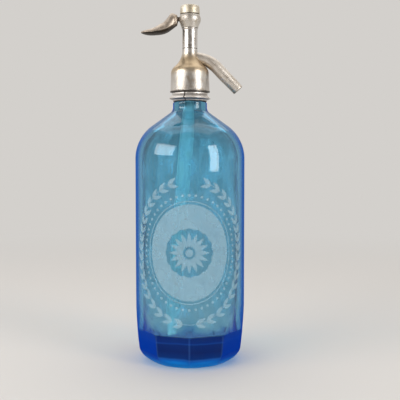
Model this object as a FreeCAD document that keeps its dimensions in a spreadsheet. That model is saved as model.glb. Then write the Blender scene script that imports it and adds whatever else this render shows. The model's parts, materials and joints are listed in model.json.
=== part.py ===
"""Soda siphon: a moulded glass bottle under a cast metal head with a sprung lever valve.

Millimetres, +Z up. The origin is the centre of the bottle's foot on the surface that it
stands on, the lever points to -X and the spout to +X.
"""
import FreeCAD, Part
import math
import os
import Sketcher

os.makedirs("parts", exist_ok=True)
doc = FreeCAD.newDocument("soda_siphon")

# ------------------------------------------------------------------ driving dimensions
DIMENSIONS = {
    # bottle
    "body_radius": 49.0,          # outside of the glass body
    "glass_wall": 5.5,            # body and shoulder
    "floor_height": 17.0,         # top of the solid glass base
    "floor_fillet": 12.0,         # inside corner between floor and wall
    "heel_radius": 22.0,          # rounding of the heel
    "heel_height": 20.0,          # where the heel meets the upright side
    "foot_ring_width": 4.2,       # flat ring that the bottle stands on
    "punt_depth": 3.0,            # hollow under the base
    "facet_count": 10,            # flats ground round the base
    "facet_depth": 5.1,           # cut off the side by a flat's centre, at floor level
    "facet_draft": 6.0,           # degrees that a flat leans inwards
    "cutter_overrun": 1.0,        # of the flats' cutter, below the foot
    "shoulder_height": 181.0,     # end of the upright side
    "shoulder_radius": 36.3,      # rounding of the shoulder
    "shoulder_slope": 35.5,       # degrees, cone between shoulder and neck
    "neck_radius": 15.2,          # outside of the glass neck
    "neck_bore": 10.0,            # inside of the glass neck
    "neck_fillet": 6.0,           # outside sweep from cone to neck
    "neck_bore_fillet": 12.0,     # inside sweep from cone to bore
    "neck_length": 6.4,           # from the cone's end to the neck's rounded top edge
    "neck_edge": 1.4,             # rounding of that edge
    "groove_radius": 12.4,        # glass under the bead
    "groove_length": 9.6,
    "bead_radius": 14.0,          # glass bead that the neck ring grips
    "bead_length": 12.8,
    "bead_edge": 1.2,
    # neck ring, in two halves
    "ring_wall": 1.5,             # round the bead
    "ring_foot_gap": 0.2,         # between neck ring and glass neck
    "ring_foot_radius": 14.8,
    "ring_flange_radius": 18.3,
    "ring_flange_height": 2.8,    # from the ring's foot to its sharp flange
    "ring_flange_edge": 0.5,
    "ring_cone_height": 3.8,      # from the flange to the threaded barrel
    "ring_barrel_length": 12.6,
    "ring_split": 0.3,            # saw cut between the halves
    "ring_split_turn": 16.0,      # degrees from the front towards the lever
    "ring_clearance": 0.2,        # round the glass
    "thread_clearance": 0.1,
    # gasket and head
    "gasket_thickness": 2.4,
    "gasket_inset": 0.2,          # the gasket's bore outside the glass bore
    "skirt_depth": 16.2,          # from the gasket's seat to the skirt's lip
    "skirt_wall": 1.2,            # outside the thread, at the skirt's top
    "skirt_taper": 0.4,           # the skirt's foot is this much wider
    "skirt_height": 16.3,         # upright part of the bell
    "lip_overhang": 0.45,         # beyond the skirt's foot
    "lip_height": 1.2,
    "bell_radius": 8.3,           # convex rounding of the bell
    "flare_height": 21.5,         # from the end of the skirt to the start of the stem
    "stem_radius": 6.0,
    "stem_land": 0.8,             # straight end of the head's stem
    "chamber_radius": 3.6,        # bore that the valve works in
    "chamber_floor": 7.2,         # above the gasket's seat
    "packing_seat": 18.6,         # above the gasket's seat
    "packing_radius": 4.2,
    "packing_thickness": 2.2,
    "socket_radius": 5.45,        # threaded socket for the tube ferrule
    "socket_depth": 5.6,
    "channel_radius": 2.2,        # waterway between ferrule and seat
    # valve
    "seat_bore": 1.8,
    "seat_thickness": 1.6,
    "seat_lip_height": 0.5,
    "seat_lip_width": 0.7,
    "seat_gap": 0.02,             # closed valve, disc to lip
    "disc_radius": 2.6,
    "disc_thickness": 1.5,
    "holder_radius": 3.1,
    "holder_height": 3.5,
    "holder_lift": 0.4,           # rim of the holder above the disc's face
    "screw_radius": 0.7,
    "screw_head_radius": 1.3,
    "screw_head_height": 0.7,
    "screw_length": 2.3,
    "fit_clearance": 0.05,        # pressed and screwed joints inside the head
    "running_clearance": 0.05,    # rod in gland, lever on pin
    # piston rod and gland
    "rod_radius": 1.3,
    "rod_engagement": 1.6,        # rod screwed into the holder
    "gland_length": 5.3,
    "gland_clearance": 0.15,
    # upper stem
    "upper_stem_length": 18.2,
    "upper_stem_top_radius": 5.8,
    "stem_bead_radius": 6.4,
    "stem_bead_height": 1.4,
    "stem_bore": 2.2,
    "spigot_radius": 4.4,
    "spigot_length": 3.0,
    # lever housing
    "housing_foot_radius": 6.4,
    "housing_neck_radius": 8.3,
    "housing_neck_height": 4.5,
    "housing_bulge_radius": 6.4,
    "housing_height": 13.2,
    "housing_bore": 3.4,
    "housing_floor": 3.3,
    "slot_width": 4.5,
    "slot_foot": 3.9,             # above the housing's foot
    "slot_height": 7.3,
    "pin_offset": 4.8,            # from the axis towards the lever
    "pin_height": 8.0,            # above the housing's foot
    "pin_radius": 0.9,
    "pin_length": 17.0,
    # cap
    "washer_thickness": 0.7,
    "washer_radius": 8.1,
    "cap_radius": 8.6,
    "cap_height": 6.3,
    "cap_edge": 1.7,
    "cap_thread_radius": 6.0,
    "cap_thread_length": 1.5,
    "cap_roof": 2.3,
    # lever
    "lever_travel": 22.0,         # degrees
    "hub_radius": 1.9,
    "arm_width": 4.0,
    "finger_width": 2.1,
    "finger_height": 1.0,         # between hub and nose
    "nose_radius": 0.9,
    "nose_clearance": 0.15,
    "arm_height": 3.6,
    "root_reach": 12.5,           # axis to the thick end of the thumb piece
    "root_half_width": 4.6,
    "root_drop": 3.0,             # widest line of each section below the pin
    "root_crest": 6.2,            # crest of each section above its widest line
    "root_keel": 1.9,             # underside of each section below that line
    "swell_reach": 18.0,
    "swell_half_width": 7.8,
    "swell_drop": 8.3,
    "swell_crest": 11.2,
    "swell_keel": 0.7,
    "waist_reach": 25.0,
    "waist_half_width": 8.2,
    "waist_drop": 10.7,
    "waist_crest": 6.3,
    "waist_keel": 0.5,
    "palm_reach": 34.0,
    "palm_half_width": 7.8,
    "palm_drop": 11.9,
    "palm_crest": 2.9,
    "palm_keel": 0.4,
    "tip_reach": 43.2,
    "tip_half_width": 1.4,
    "tip_drop": 11.6,
    "tip_crest": 0.6,
    "tip_keel": 0.3,
    # spring
    "rod_head_radius": 2.3,
    "rod_head_bridge": 1.4,       # metal above and below the mortise
    "mortise_clearance": 0.15,
    "spring_collar_height": 0.8,
    "spring_collar_radius": 3.1,
    "spring_guide_radius": 1.4,
    "spring_guide_length": 5.0,
    "spring_radius": 2.35,        # to the middle of the wire
    "spring_wire_radius": 0.35,
    "spring_turns": 5.0,
    # spout
    "spout_radius": 4.7,
    "spout_bore": 3.2,
    "spout_root": 5.0,            # axis to the start of the spout's centre line
    "spout_rise": 15.1,           # above the gasket's seat
    "spout_first_angle": 12.0,    # degrees below level, first run
    "spout_second_angle": 47.0,   # degrees below level, second run
    "spout_bend": 28.0,
    "spout_first_run": 14.0,      # to the corner of the two runs
    "spout_second_run": 34.4,
    # dip tube and its ferrule
    "tube_radius": 6.3,
    "tube_bore": 3.7,
    "tube_lean": 4.6,             # degrees off plumb, towards the lever
    "tube_foot_gap": 7.0,         # above the glass floor
    "tube_top_radius": 3.6,
    "tube_top_bore": 1.9,
    "tube_taper_length": 31.0,
    "tube_top_length": 17.0,
    "ferrule_radius": 6.4,
    "ferrule_length": 13.4,
    "ferrule_lip": 1.4,
    "ferrule_wall": 1.45,
    "ferrule_thread_length": 5.1,
    "ferrule_roof": 3.4,
    "seal_length": 8.0,
}

sheet = doc.addObject("Spreadsheet::Sheet", "dim")
for row, (alias, value) in enumerate(DIMENSIONS.items(), start=1):
    sheet.set("A%d" % row, alias)
    sheet.set("B%d" % row, str(value))
    sheet.setAlias("B%d" % row, alias)
doc.recompute()

# ------------------------------------------------- heights and radii worked out from them
LEVELS = {
    # foot of the bottle
    "foot_radius": "dim.body_radius - dim.heel_radius"
                   " + sqrt(dim.heel_radius ^ 2 - dim.heel_height ^ 2)",
    "foot_inner": "level.foot_radius - dim.foot_ring_width",
    "punt_radius": "(level.foot_inner ^ 2 + dim.punt_depth ^ 2) / (2 * dim.punt_depth)",
    "facet_slope": "tan(dim.facet_draft * 1 deg)",
    "facet_foot": "dim.body_radius - dim.facet_depth",
    "cutter_radius": "dim.body_radius + dim.glass_wall",
    "cutter_top": "(dim.facet_depth + dim.glass_wall) / level.facet_slope",
    # shoulder: the arc ends where its slope is that of the cone
    "slope_sine": "sin(dim.shoulder_slope * 1 deg)",
    "slope_cosine": "cos(dim.shoulder_slope * 1 deg)",
    "shoulder_centre": "dim.body_radius - dim.shoulder_radius",
    "cone_radius": "level.shoulder_centre + dim.shoulder_radius * level.slope_sine",
    "cone_height": "dim.shoulder_height + dim.shoulder_radius * level.slope_cosine",
    "inner_shoulder": "dim.shoulder_radius - dim.glass_wall",
    "inner_cone_radius": "level.shoulder_centre + level.inner_shoulder * level.slope_sine",
    "inner_cone_height": "dim.shoulder_height + level.inner_shoulder * level.slope_cosine",
    "neck_corner": "level.cone_height + (level.cone_radius - dim.neck_radius)"
                   " * level.slope_sine / level.slope_cosine",
    "bore_corner": "level.inner_cone_height + (level.inner_cone_radius - dim.neck_bore)"
                   " * level.slope_sine / level.slope_cosine",
    "sweep_share": "tan((90 - dim.shoulder_slope) / 2 * 1 deg)",
    "neck_sweep": "dim.neck_fillet * level.sweep_share",
    "bore_sweep": "dim.neck_bore_fillet * level.sweep_share",
    # glass finish, from the neck up
    "neck_top": "level.neck_corner + dim.neck_length + dim.neck_edge",
    "groove_top": "level.neck_top + dim.groove_length",
    "mouth": "level.groove_top + dim.bead_length",
    "gasket_top": "level.mouth + dim.gasket_thickness",
    # neck ring
    "ring_foot": "level.neck_top + dim.ring_foot_gap",
    "ring_flange": "level.ring_foot + dim.ring_flange_height",
    "ring_barrel": "level.ring_flange + dim.ring_cone_height",
    "ring_top": "level.ring_barrel + dim.ring_barrel_length",
    "ring_bore": "dim.groove_radius + dim.ring_clearance",
    "ring_pocket": "dim.bead_radius + dim.ring_clearance",
    "ring_thread": "level.ring_pocket + dim.ring_wall",
    # head: the concave flare is tangent to the convex bell and to the stem
    "lip": "level.gasket_top - dim.skirt_depth",
    "skirt_top": "level.lip + dim.skirt_height",
    "stem_foot": "level.skirt_top + dim.flare_height",
    "stem_joint": "level.stem_foot + dim.stem_land",
    "thread_bore": "level.ring_thread + dim.thread_clearance",
    "skirt_top_radius": "level.thread_bore + dim.skirt_wall",
    "skirt_foot_radius": "level.skirt_top_radius + dim.skirt_taper",
    "bell_inset": "dim.stem_radius - level.skirt_top_radius + dim.bell_radius",
    "flare_radius": "(level.bell_inset ^ 2 + dim.flare_height ^ 2 - dim.bell_radius ^ 2)"
                    " / (2 * (dim.bell_radius - level.bell_inset))",
    "flare_share": "dim.bell_radius / (dim.bell_radius + level.flare_radius)",
    "bell_centre": "level.skirt_top_radius - dim.bell_radius",
    "turn_radius": "level.bell_centre + level.flare_share"
                   " * (dim.stem_radius + level.flare_radius - level.bell_centre)",
    "turn_height": "level.skirt_top + level.flare_share * dim.flare_height",
    "socket_top": "level.gasket_top + dim.socket_depth",
    "chamber_foot": "level.gasket_top + dim.chamber_floor",
    "packing_foot": "level.gasket_top + dim.packing_seat",
    "packing_top": "level.packing_foot + dim.packing_thickness",
    "gland_top": "level.packing_top + dim.gland_length",
    # valve and rod
    "seat_top": "level.chamber_foot + dim.seat_thickness",
    "disc_foot": "level.seat_top + dim.seat_lip_height + dim.seat_gap",
    "disc_top": "level.disc_foot + dim.disc_thickness",
    "holder_foot": "level.disc_foot + dim.holder_lift",
    "holder_top": "level.holder_foot + dim.holder_height",
    "screw_foot": "level.disc_foot - dim.screw_head_height",
    "screw_top": "level.disc_foot + dim.screw_length",
    "rod_foot": "level.holder_top - dim.rod_engagement",
    # upper stem and lever housing
    "bead_foot": "level.stem_joint + dim.upper_stem_length - dim.stem_bead_height",
    "housing_foot": "level.stem_joint + dim.upper_stem_length",
    "spigot_top": "level.housing_foot + dim.spigot_length",
    "housing_neck": "level.housing_foot + dim.housing_neck_height",
    "housing_top": "level.housing_foot + dim.housing_height",
    "bore_foot": "level.housing_foot + dim.housing_floor",
    "slot_bottom": "level.housing_foot + dim.slot_foot",
    "slot_top": "level.slot_bottom + dim.slot_height",
    "pin_level": "level.housing_foot + dim.pin_height",
    # the nose swings as far above the pin's level as it starts below it
    "half_travel": "dim.lever_travel / 2",
    "nose_arm": "dim.pin_offset * dim.lever_travel * pi / 360"
                " / sin(level.half_travel * 1 deg)",
    "nose_x": "level.nose_arm * cos(level.half_travel * 1 deg) - dim.pin_offset",
    "nose_level": "level.pin_level - level.nose_arm * sin(level.half_travel * 1 deg)",
    "mortise_half": "dim.nose_radius + dim.nose_clearance",
    "head_foot": "level.nose_level - level.mortise_half - dim.rod_head_bridge",
    "head_top": "level.nose_level + level.mortise_half + dim.rod_head_bridge",
    "spring_foot": "level.head_top + dim.spring_collar_height",
    # cap
    "cap_foot": "level.housing_top + dim.washer_thickness",
    "cap_top": "level.cap_foot + dim.cap_height",
    "cap_ceiling": "level.cap_top - dim.cap_roof",
    "cap_thread_foot": "level.housing_top - dim.cap_thread_length",
    "cap_seat": "level.cap_thread_foot - dim.fit_clearance",
    # spout: two runs that meet in a corner, rounded by the bend
    "spout_start": "level.gasket_top + dim.spout_rise",
    "first_cosine": "cos(dim.spout_first_angle * 1 deg)",
    "first_sine": "sin(dim.spout_first_angle * 1 deg)",
    "second_cosine": "cos(dim.spout_second_angle * 1 deg)",
    "second_sine": "sin(dim.spout_second_angle * 1 deg)",
    "bend_tangent": "dim.spout_bend"
                    " * tan((dim.spout_second_angle - dim.spout_first_angle) / 2 * 1 deg)",
    "bend_x": "dim.spout_root + dim.spout_first_run * level.first_cosine",
    "bend_z": "level.spout_start - dim.spout_first_run * level.first_sine",
    # ferrule, seal and tube
    "ferrule_foot": "level.gasket_top - dim.ferrule_length",
    "ferrule_top": "level.gasket_top + dim.ferrule_thread_length",
    "ferrule_bore": "dim.ferrule_radius - dim.ferrule_wall",
    "ferrule_thread": "dim.socket_radius - dim.fit_clearance",
    "ferrule_ceiling": "level.gasket_top - dim.ferrule_roof",
    "seal_foot": "level.ferrule_foot + dim.ferrule_lip",
    "tube_top": "level.seal_foot + dim.seal_length",
    "tube_foot": "dim.floor_height + dim.tube_foot_gap",
    "taper_top": "level.tube_top - dim.tube_top_length",
    "taper_foot": "level.taper_top - dim.tube_taper_length",
    "tube_slope": "tan(dim.tube_lean * 1 deg)",
    "taper_shift": "dim.tube_taper_length * level.tube_slope",
    "foot_shift": "(level.taper_top - level.tube_foot) * level.tube_slope",
}

levels = doc.addObject("App::VarSet", "level")
for name, formula in LEVELS.items():
    levels.addProperty("App::PropertyFloat", name)
    levels.setExpression(name, formula.replace("level.", ""))
doc.recompute()


def value(expression):
    """The number that an expression on the sheet and the levels stands for."""
    result = levels.evalExpression(str(expression).replace("level.", ""))
    return float(getattr(result, "Value", result))


# ------------------------------------------------------------------------ sketch helpers
def new_body(label):
    """An empty body that carries the piece's name."""
    body = doc.addObject("PartDesign::Body", label)
    body.Label = label
    return body


def new_sketch(body, plane, name, offset=None):
    """A sketch on one of the body's own origin planes, moved off it by an expression."""
    sketch = body.newObject("Sketcher::SketchObject", name)
    support = [item for item in body.Origin.OriginFeatures if item.Role == plane][0]
    sketch.AttachmentSupport = (support, [""])
    sketch.MapMode = "FlatFace"
    if offset is not None:
        sketch.setExpression("AttachmentOffset.Base.z", offset)
    return sketch


def fix(sketch, kind, place, expression):
    """Add one dimension that follows an expression."""
    number = sketch.addConstraint(Sketcher.Constraint(kind, *place, value(expression)))
    sketch.setExpression("Constraints[%d]" % number, expression)


def arc_between(start, end, radius, side):
    """The short arc from start to end with its centre on the left or the right."""
    chord = end - start
    rise = math.sqrt(max(radius ** 2 - chord.Length ** 2 / 4, 0.0))
    left = FreeCAD.Vector(-chord.y, chord.x, 0).normalize()
    centre = (start + end) * 0.5 + left * (rise if side == "left" else -rise)
    circle = Part.Circle(centre, FreeCAD.Vector(0, 0, 1), radius)
    first, last = (start, end) if side == "left" else (end, start)
    return Part.ArcOfCircle(circle, circle.parameter(first), circle.parameter(last))


def outline(sketch, steps, closed=True):
    """Draw an outline whose corners are fixed by expressions.

    A step is (across, up) for a straight side that ends there, or (across, up, radius,
    side) for an arc, whose centre lies on that side of the way that the pen travels.
    """
    corners = [FreeCAD.Vector(value(step[0]), value(step[1]), 0) for step in steps]
    ends = []
    first = 0 if closed else 1
    for index in range(first, len(steps)):
        start, end, step = corners[index - 1], corners[index], steps[index]
        if len(step) == 2:
            edge = sketch.addGeometry(Part.LineSegment(start, end), False)
            ends.append((edge, 1, 2))
            continue
        arc = arc_between(start, end, value(step[2]), step[3])
        edge = sketch.addGeometry(arc, False)
        ends.append((edge, 1, 2) if step[3] == "left" else (edge, 2, 1))
        fix(sketch, "Radius", (edge,), step[2])
    for index, (edge, _, tail) in enumerate(ends):
        if closed or index + 1 < len(ends):
            following, head, _ = ends[(index + 1) % len(ends)]
            sketch.addConstraint(Sketcher.Constraint("Coincident", edge, tail, following, head))
        step = steps[first + index]
        fix(sketch, "DistanceX", (-1, 1, edge, tail), step[0])
        fix(sketch, "DistanceY", (-1, 1, edge, tail), step[1])
    if not closed:
        fix(sketch, "DistanceX", (-1, 1, ends[0][0], ends[0][1]), steps[0][0])
        fix(sketch, "DistanceY", (-1, 1, ends[0][0], ends[0][1]), steps[0][1])


def circle(sketch, across, up, radius):
    """Draw a circle whose centre and radius are fixed by expressions."""
    centre = FreeCAD.Vector(value(across), value(up), 0)
    edge = sketch.addGeometry(
        Part.Circle(centre, FreeCAD.Vector(0, 0, 1), value(radius)), False)
    fix(sketch, "DistanceX", (-1, 1, edge, 3), across)
    fix(sketch, "DistanceY", (-1, 1, edge, 3), up)
    fix(sketch, "Radius", (edge,), radius)


def turn(body, steps, kind="Revolution"):
    """Turn an outline of radius and height round the upright axis, as metal or as a cut."""
    sketch = new_sketch(body, "XZ_Plane", body.Label + "_profile")
    outline(sketch, steps)
    feature = body.newObject("PartDesign::" + kind, body.Label + "_" + kind.lower())
    feature.Profile = sketch
    feature.ReferenceAxis = (sketch, ["V_Axis"])
    feature.Angle = 360.0
    doc.recompute()
    return feature


def extrude(body, plane, draw, width, kind="Pad"):
    """Extrude a drawing by the same amount to both sides of its plane."""
    sketch = new_sketch(body, plane, body.Label + "_section")
    draw(sketch)
    feature = body.newObject("PartDesign::" + kind, body.Label + "_" + kind.lower())
    feature.Profile = sketch
    feature.SideType = "Symmetric"
    feature.setExpression("Length", width)
    doc.recompute()
    return feature


# --------------------------------------------------------------------------------- glass
def make_bottle():
    """Blown and pressed bottle: round body, facetted heavy foot, beaded mouth."""
    body = new_body("bottle")
    turn(body, [
        ("0", "dim.punt_depth"),
        ("level.foot_inner", "0", "level.punt_radius", "right"),
        ("level.foot_radius", "0"),
        ("dim.body_radius", "dim.heel_height", "dim.heel_radius", "left"),
        ("dim.body_radius", "dim.shoulder_height"),
        ("level.cone_radius", "level.cone_height", "dim.shoulder_radius", "left"),
        ("dim.neck_radius + level.neck_sweep * level.slope_cosine",
         "level.neck_corner - level.neck_sweep * level.slope_sine"),
        ("dim.neck_radius", "level.neck_corner + level.neck_sweep", "dim.neck_fillet", "right"),
        ("dim.neck_radius", "level.neck_top - dim.neck_edge"),
        ("dim.neck_radius - dim.neck_edge", "level.neck_top", "dim.neck_edge", "left"),
        ("dim.groove_radius", "level.neck_top"),
        ("dim.groove_radius", "level.groove_top"),
        ("dim.bead_radius", "level.groove_top + dim.bead_edge"),
        ("dim.bead_radius", "level.mouth - dim.bead_edge"),
        ("dim.bead_radius - dim.bead_edge", "level.mouth", "dim.bead_edge", "left"),
        ("dim.neck_bore", "level.mouth"),
        ("dim.neck_bore", "level.bore_corner + level.bore_sweep"),
        ("dim.neck_bore + level.bore_sweep * level.slope_cosine",
         "level.bore_corner - level.bore_sweep * level.slope_sine",
         "dim.neck_bore_fillet", "left"),
        ("level.inner_cone_radius", "level.inner_cone_height"),
        ("dim.body_radius - dim.glass_wall", "dim.shoulder_height",
         "level.inner_shoulder", "right"),
        ("dim.body_radius - dim.glass_wall", "dim.floor_height + dim.floor_fillet"),
        ("dim.body_radius - dim.glass_wall - dim.floor_fillet", "dim.floor_height",
         "dim.floor_fillet", "right"),
        ("0", "dim.floor_height"),
    ])
    # one leaning flat, cut at +X and repeated round the foot
    flat = extrude(body, "XZ_Plane", lambda sketch: outline(sketch, [
        ("level.facet_foot - dim.cutter_overrun * level.facet_slope", "-dim.cutter_overrun"),
        ("level.cutter_radius", "level.cutter_top"),
        ("level.cutter_radius", "-dim.cutter_overrun"),
    ]), "dim.body_radius", "Pocket")
    flats = body.newObject("PartDesign::PolarPattern", "bottle_flats")
    flats.Originals = [flat]
    axis = [item for item in body.Origin.OriginFeatures if item.Role == "Z_Axis"][0]
    flats.Axis = (axis, [""])
    flats.Angle = 360.0
    flats.setExpression("Occurrences", "dim.facet_count")
    body.Tip = flats
    return body


def make_dip_tube():
    """Drawn glass tube, necked down and bent by hand where its top enters the ferrule.

    Level circles at four heights carry both its outside and its bore.
    """
    body = new_body("dip_tube")
    heights = ("level.tube_top", "level.taper_top", "level.taper_foot", "level.tube_foot")
    shifts = ("0", "0", "-level.taper_shift", "-level.foot_shift")
    for kind, top_radius, radius in (
            ("AdditiveLoft", "dim.tube_top_radius", "dim.tube_radius"),
            ("SubtractiveLoft", "dim.tube_top_bore", "dim.tube_bore")):
        sections = []
        for height, shift, reach in zip(heights, shifts, (top_radius, top_radius, radius, radius)):
            sketch = new_sketch(body, "XY_Plane", "%s_%d" % (kind, len(sections)), height)
            circle(sketch, shift, "0", reach)
            sections.append(sketch)
        loft = body.newObject("PartDesign::" + kind, "tube_" + kind)
        loft.Profile = sections[0]
        loft.Sections = sections[1:]
        loft.Ruled = True
        doc.recompute()
    return body


# ---------------------------------------------------------------------- neck and gaskets
def make_ring_half(label, side):
    """Half of the threaded neck ring, which closes round the glass bead."""
    body = new_body(label)
    turn(body, [
        ("level.ring_bore", "level.ring_foot"),
        ("dim.ring_foot_radius", "level.ring_foot"),
        ("dim.ring_foot_radius + dim.ring_flange_edge", "level.ring_foot + dim.ring_wall"),
        ("dim.ring_flange_radius", "level.ring_flange"),
        ("dim.ring_flange_radius", "level.ring_flange + dim.ring_flange_edge"),
        ("level.ring_thread", "level.ring_barrel"),
        ("level.ring_thread", "level.ring_top"),
        ("level.ring_pocket", "level.ring_top"),
        ("level.ring_pocket", "level.groove_top + dim.bead_edge"),
        ("level.ring_bore", "level.groove_top - dim.ring_clearance"),
    ])
    # the cutter takes away the other half and half of the saw cut
    near = "-%d * dim.ring_split / 2" % side
    far = "%d * dim.body_radius" % side
    sketch = new_sketch(body, "XY_Plane", label + "_cutter")
    sketch.setExpression("AttachmentOffset.Rotation.Yaw", "-dim.ring_split_turn")
    outline(sketch, [(near, "-dim.body_radius"), (far, "-dim.body_radius"),
                     (far, "dim.body_radius"), (near, "dim.body_radius")])
    cutter = body.newObject("PartDesign::Pocket", label + "_half")
    cutter.Profile = sketch
    cutter.SideType = "Symmetric"
    cutter.setExpression("Length", "4 * level.gasket_top")
    return body


def make_neck_gasket():
    """Rubber ring that the head presses on the glass mouth."""
    body = new_body("neck_gasket")
    turn(body, [
        ("dim.neck_bore + dim.gasket_inset", "level.mouth"),
        ("dim.bead_radius", "level.mouth"),
        ("dim.bead_radius", "level.gasket_top"),
        ("dim.neck_bore + dim.gasket_inset", "level.gasket_top"),
    ])
    return body


# ---------------------------------------------------------------------------------- head
BELL_OUTLINE = [
    ("level.skirt_top_radius", "level.skirt_top"),
    ("level.turn_radius", "level.turn_height", "dim.bell_radius", "left"),
    ("dim.stem_radius", "level.stem_foot", "level.flare_radius", "right"),
    ("dim.stem_radius", "level.stem_joint"),
]


def make_head_body():
    """Cast bell and lower stem, with the valve chamber, tube socket and spout hole."""
    body = new_body("head_body")
    turn(body, [
        ("level.thread_bore", "level.lip"),
        ("level.skirt_foot_radius + dim.lip_overhang", "level.lip"),
        ("level.skirt_foot_radius + dim.lip_overhang", "level.lip + dim.lip_height"),
        ("level.skirt_foot_radius", "level.lip + 2 * dim.lip_height"),
        BELL_OUTLINE[0], BELL_OUTLINE[1], BELL_OUTLINE[2], BELL_OUTLINE[3],
        ("dim.packing_radius", "level.stem_joint"),
        ("dim.packing_radius", "level.packing_foot"),
        ("dim.chamber_radius", "level.packing_foot"),
        ("dim.chamber_radius", "level.chamber_foot"),
        ("dim.channel_radius", "level.chamber_foot"),
        ("dim.channel_radius", "level.socket_top"),
        ("dim.socket_radius", "level.socket_top"),
        ("dim.socket_radius", "level.gasket_top"),
        ("dim.bead_radius + dim.ring_clearance", "level.gasket_top"),
        ("level.thread_bore", "level.gasket_top + dim.bead_radius - level.ring_thread"),
    ])
    # waterway from the valve chamber into the spout
    sketch = new_sketch(body, "YZ_Plane", "head_body_outlet")
    circle(sketch, "0", "level.spout_start", "dim.spout_bore")
    outlet = body.newObject("PartDesign::Pocket", "head_body_waterway")
    outlet.Profile = sketch
    outlet.Reversed = True
    outlet.setExpression("Length", "2 * dim.stem_radius")
    return body


def spout_tube(body, label, radius, kind):
    """A round section carried along the spout's centre line."""
    path = new_sketch(body, "XZ_Plane", label + "_path")
    outline(path, [
        ("dim.spout_root", "level.spout_start"),
        ("level.bend_x - level.bend_tangent * level.first_cosine",
         "level.bend_z + level.bend_tangent * level.first_sine"),
        ("level.bend_x + level.bend_tangent * level.second_cosine",
         "level.bend_z - level.bend_tangent * level.second_sine",
         "dim.spout_bend", "right"),
        ("level.bend_x + dim.spout_second_run * level.second_cosine",
         "level.bend_z - dim.spout_second_run * level.second_sine"),
    ], closed=False)
    section = new_sketch(body, "YZ_Plane", label + "_section", "dim.spout_root")
    section.setExpression("AttachmentOffset.Base.y", "level.spout_start")
    section.setExpression("AttachmentOffset.Rotation.Roll", "dim.spout_first_angle")
    circle(section, "0", "0", radius)
    tube = body.newObject("PartDesign::" + kind, label)
    tube.Profile = section
    tube.Spine = path
    doc.recompute()
    return tube


def make_spout():
    """Bent tube, mitred on to the flare of the head and soldered there."""
    body = new_body("spout")
    spout_tube(body, "spout_outside", "dim.spout_radius", "AdditivePipe")
    spout_tube(body, "spout_bore", "dim.spout_bore", "SubtractivePipe")
    turn(body, BELL_OUTLINE + [
        ("dim.stem_radius", "level.stem_joint + dim.spout_radius"),
        ("0", "level.stem_joint + dim.spout_radius"),
        ("0", "level.skirt_top"),
    ], "Groove")
    return body


def make_stem_packing():
    """Leather ring round the rod, squeezed by the gland."""
    body = new_body("stem_packing")
    turn(body, [
        ("dim.rod_radius + dim.running_clearance", "level.packing_foot"),
        ("dim.packing_radius - dim.fit_clearance", "level.packing_foot"),
        ("dim.packing_radius - dim.fit_clearance", "level.packing_top"),
        ("dim.rod_radius + dim.running_clearance", "level.packing_top"),
    ])
    return body


def make_gland():
    """Threaded nipple: its foot presses the packing, its head carries the upper stem."""
    body = new_body("gland_nipple")
    turn(body, [
        ("dim.rod_radius + dim.gland_clearance", "level.packing_top"),
        ("dim.packing_radius - dim.fit_clearance", "level.packing_top"),
        ("dim.packing_radius - dim.fit_clearance", "level.gland_top"),
        ("dim.rod_radius + dim.gland_clearance", "level.gland_top"),
    ])
    return body


def make_upper_stem():
    """Turned sleeve between the head and the lever housing, beaded at its top."""
    body = new_body("upper_stem")
    turn(body, [
        ("dim.packing_radius", "level.stem_joint"),
        ("dim.stem_radius", "level.stem_joint"),
        ("dim.upper_stem_top_radius", "level.bead_foot - dim.stem_bead_height / 2"),
        ("dim.stem_bead_radius", "level.bead_foot + dim.stem_bead_height / 2"),
        ("dim.stem_bead_radius", "level.housing_foot"),
        ("dim.spigot_radius", "level.housing_foot"),
        ("dim.spigot_radius", "level.spigot_top"),
        ("dim.stem_bore", "level.spigot_top"),
        ("dim.stem_bore", "level.gland_top + dim.fit_clearance"),
        ("dim.packing_radius", "level.gland_top + dim.fit_clearance"),
    ])
    return body


def make_lever_housing():
    """Bulb that carries the lever's pin, slotted on the lever's side."""
    body = new_body("lever_housing")
    turn(body, [
        ("dim.spigot_radius + dim.fit_clearance", "level.housing_foot"),
        ("dim.housing_foot_radius", "level.housing_foot"),
        ("dim.housing_neck_radius", "level.housing_neck"),
        ("dim.housing_neck_radius", "level.housing_top", "dim.housing_bulge_radius", "left"),
        ("dim.cap_thread_radius + dim.fit_clearance", "level.housing_top"),
        ("dim.cap_thread_radius + dim.fit_clearance", "level.cap_seat"),
        ("dim.housing_bore", "level.cap_seat"),
        ("dim.housing_bore", "level.bore_foot"),
        ("dim.spigot_radius + dim.fit_clearance", "level.bore_foot"),
    ])
    extrude(body, "XZ_Plane", lambda sketch: outline(sketch, [
        ("-2 * dim.housing_neck_radius", "level.slot_bottom"),
        ("0", "level.slot_bottom"),
        ("0", "level.slot_top"),
        ("-2 * dim.housing_neck_radius", "level.slot_top"),
    ]), "dim.slot_width", "Pocket")
    extrude(body, "XZ_Plane",
            lambda sketch: circle(sketch, "-dim.pin_offset", "level.pin_level",
                                  "dim.pin_radius"),
            "4 * dim.housing_neck_radius", "Pocket")
    return body


def make_lever_pin():
    """Steel pin that runs across the housing, flush with it."""
    body = new_body("lever_pin")
    extrude(body, "XZ_Plane",
            lambda sketch: circle(sketch, "-dim.pin_offset", "level.pin_level",
                                  "dim.pin_radius"),
            "dim.pin_length")
    return body


def make_cap_washer():
    """Fibre ring between housing and cap."""
    body = new_body("cap_washer")
    turn(body, [
        ("dim.cap_thread_radius + dim.fit_clearance", "level.housing_top"),
        ("dim.washer_radius", "level.housing_top"),
        ("dim.washer_radius", "level.cap_foot"),
        ("dim.cap_thread_radius + dim.fit_clearance", "level.cap_foot"),
    ])
    return body


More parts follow.
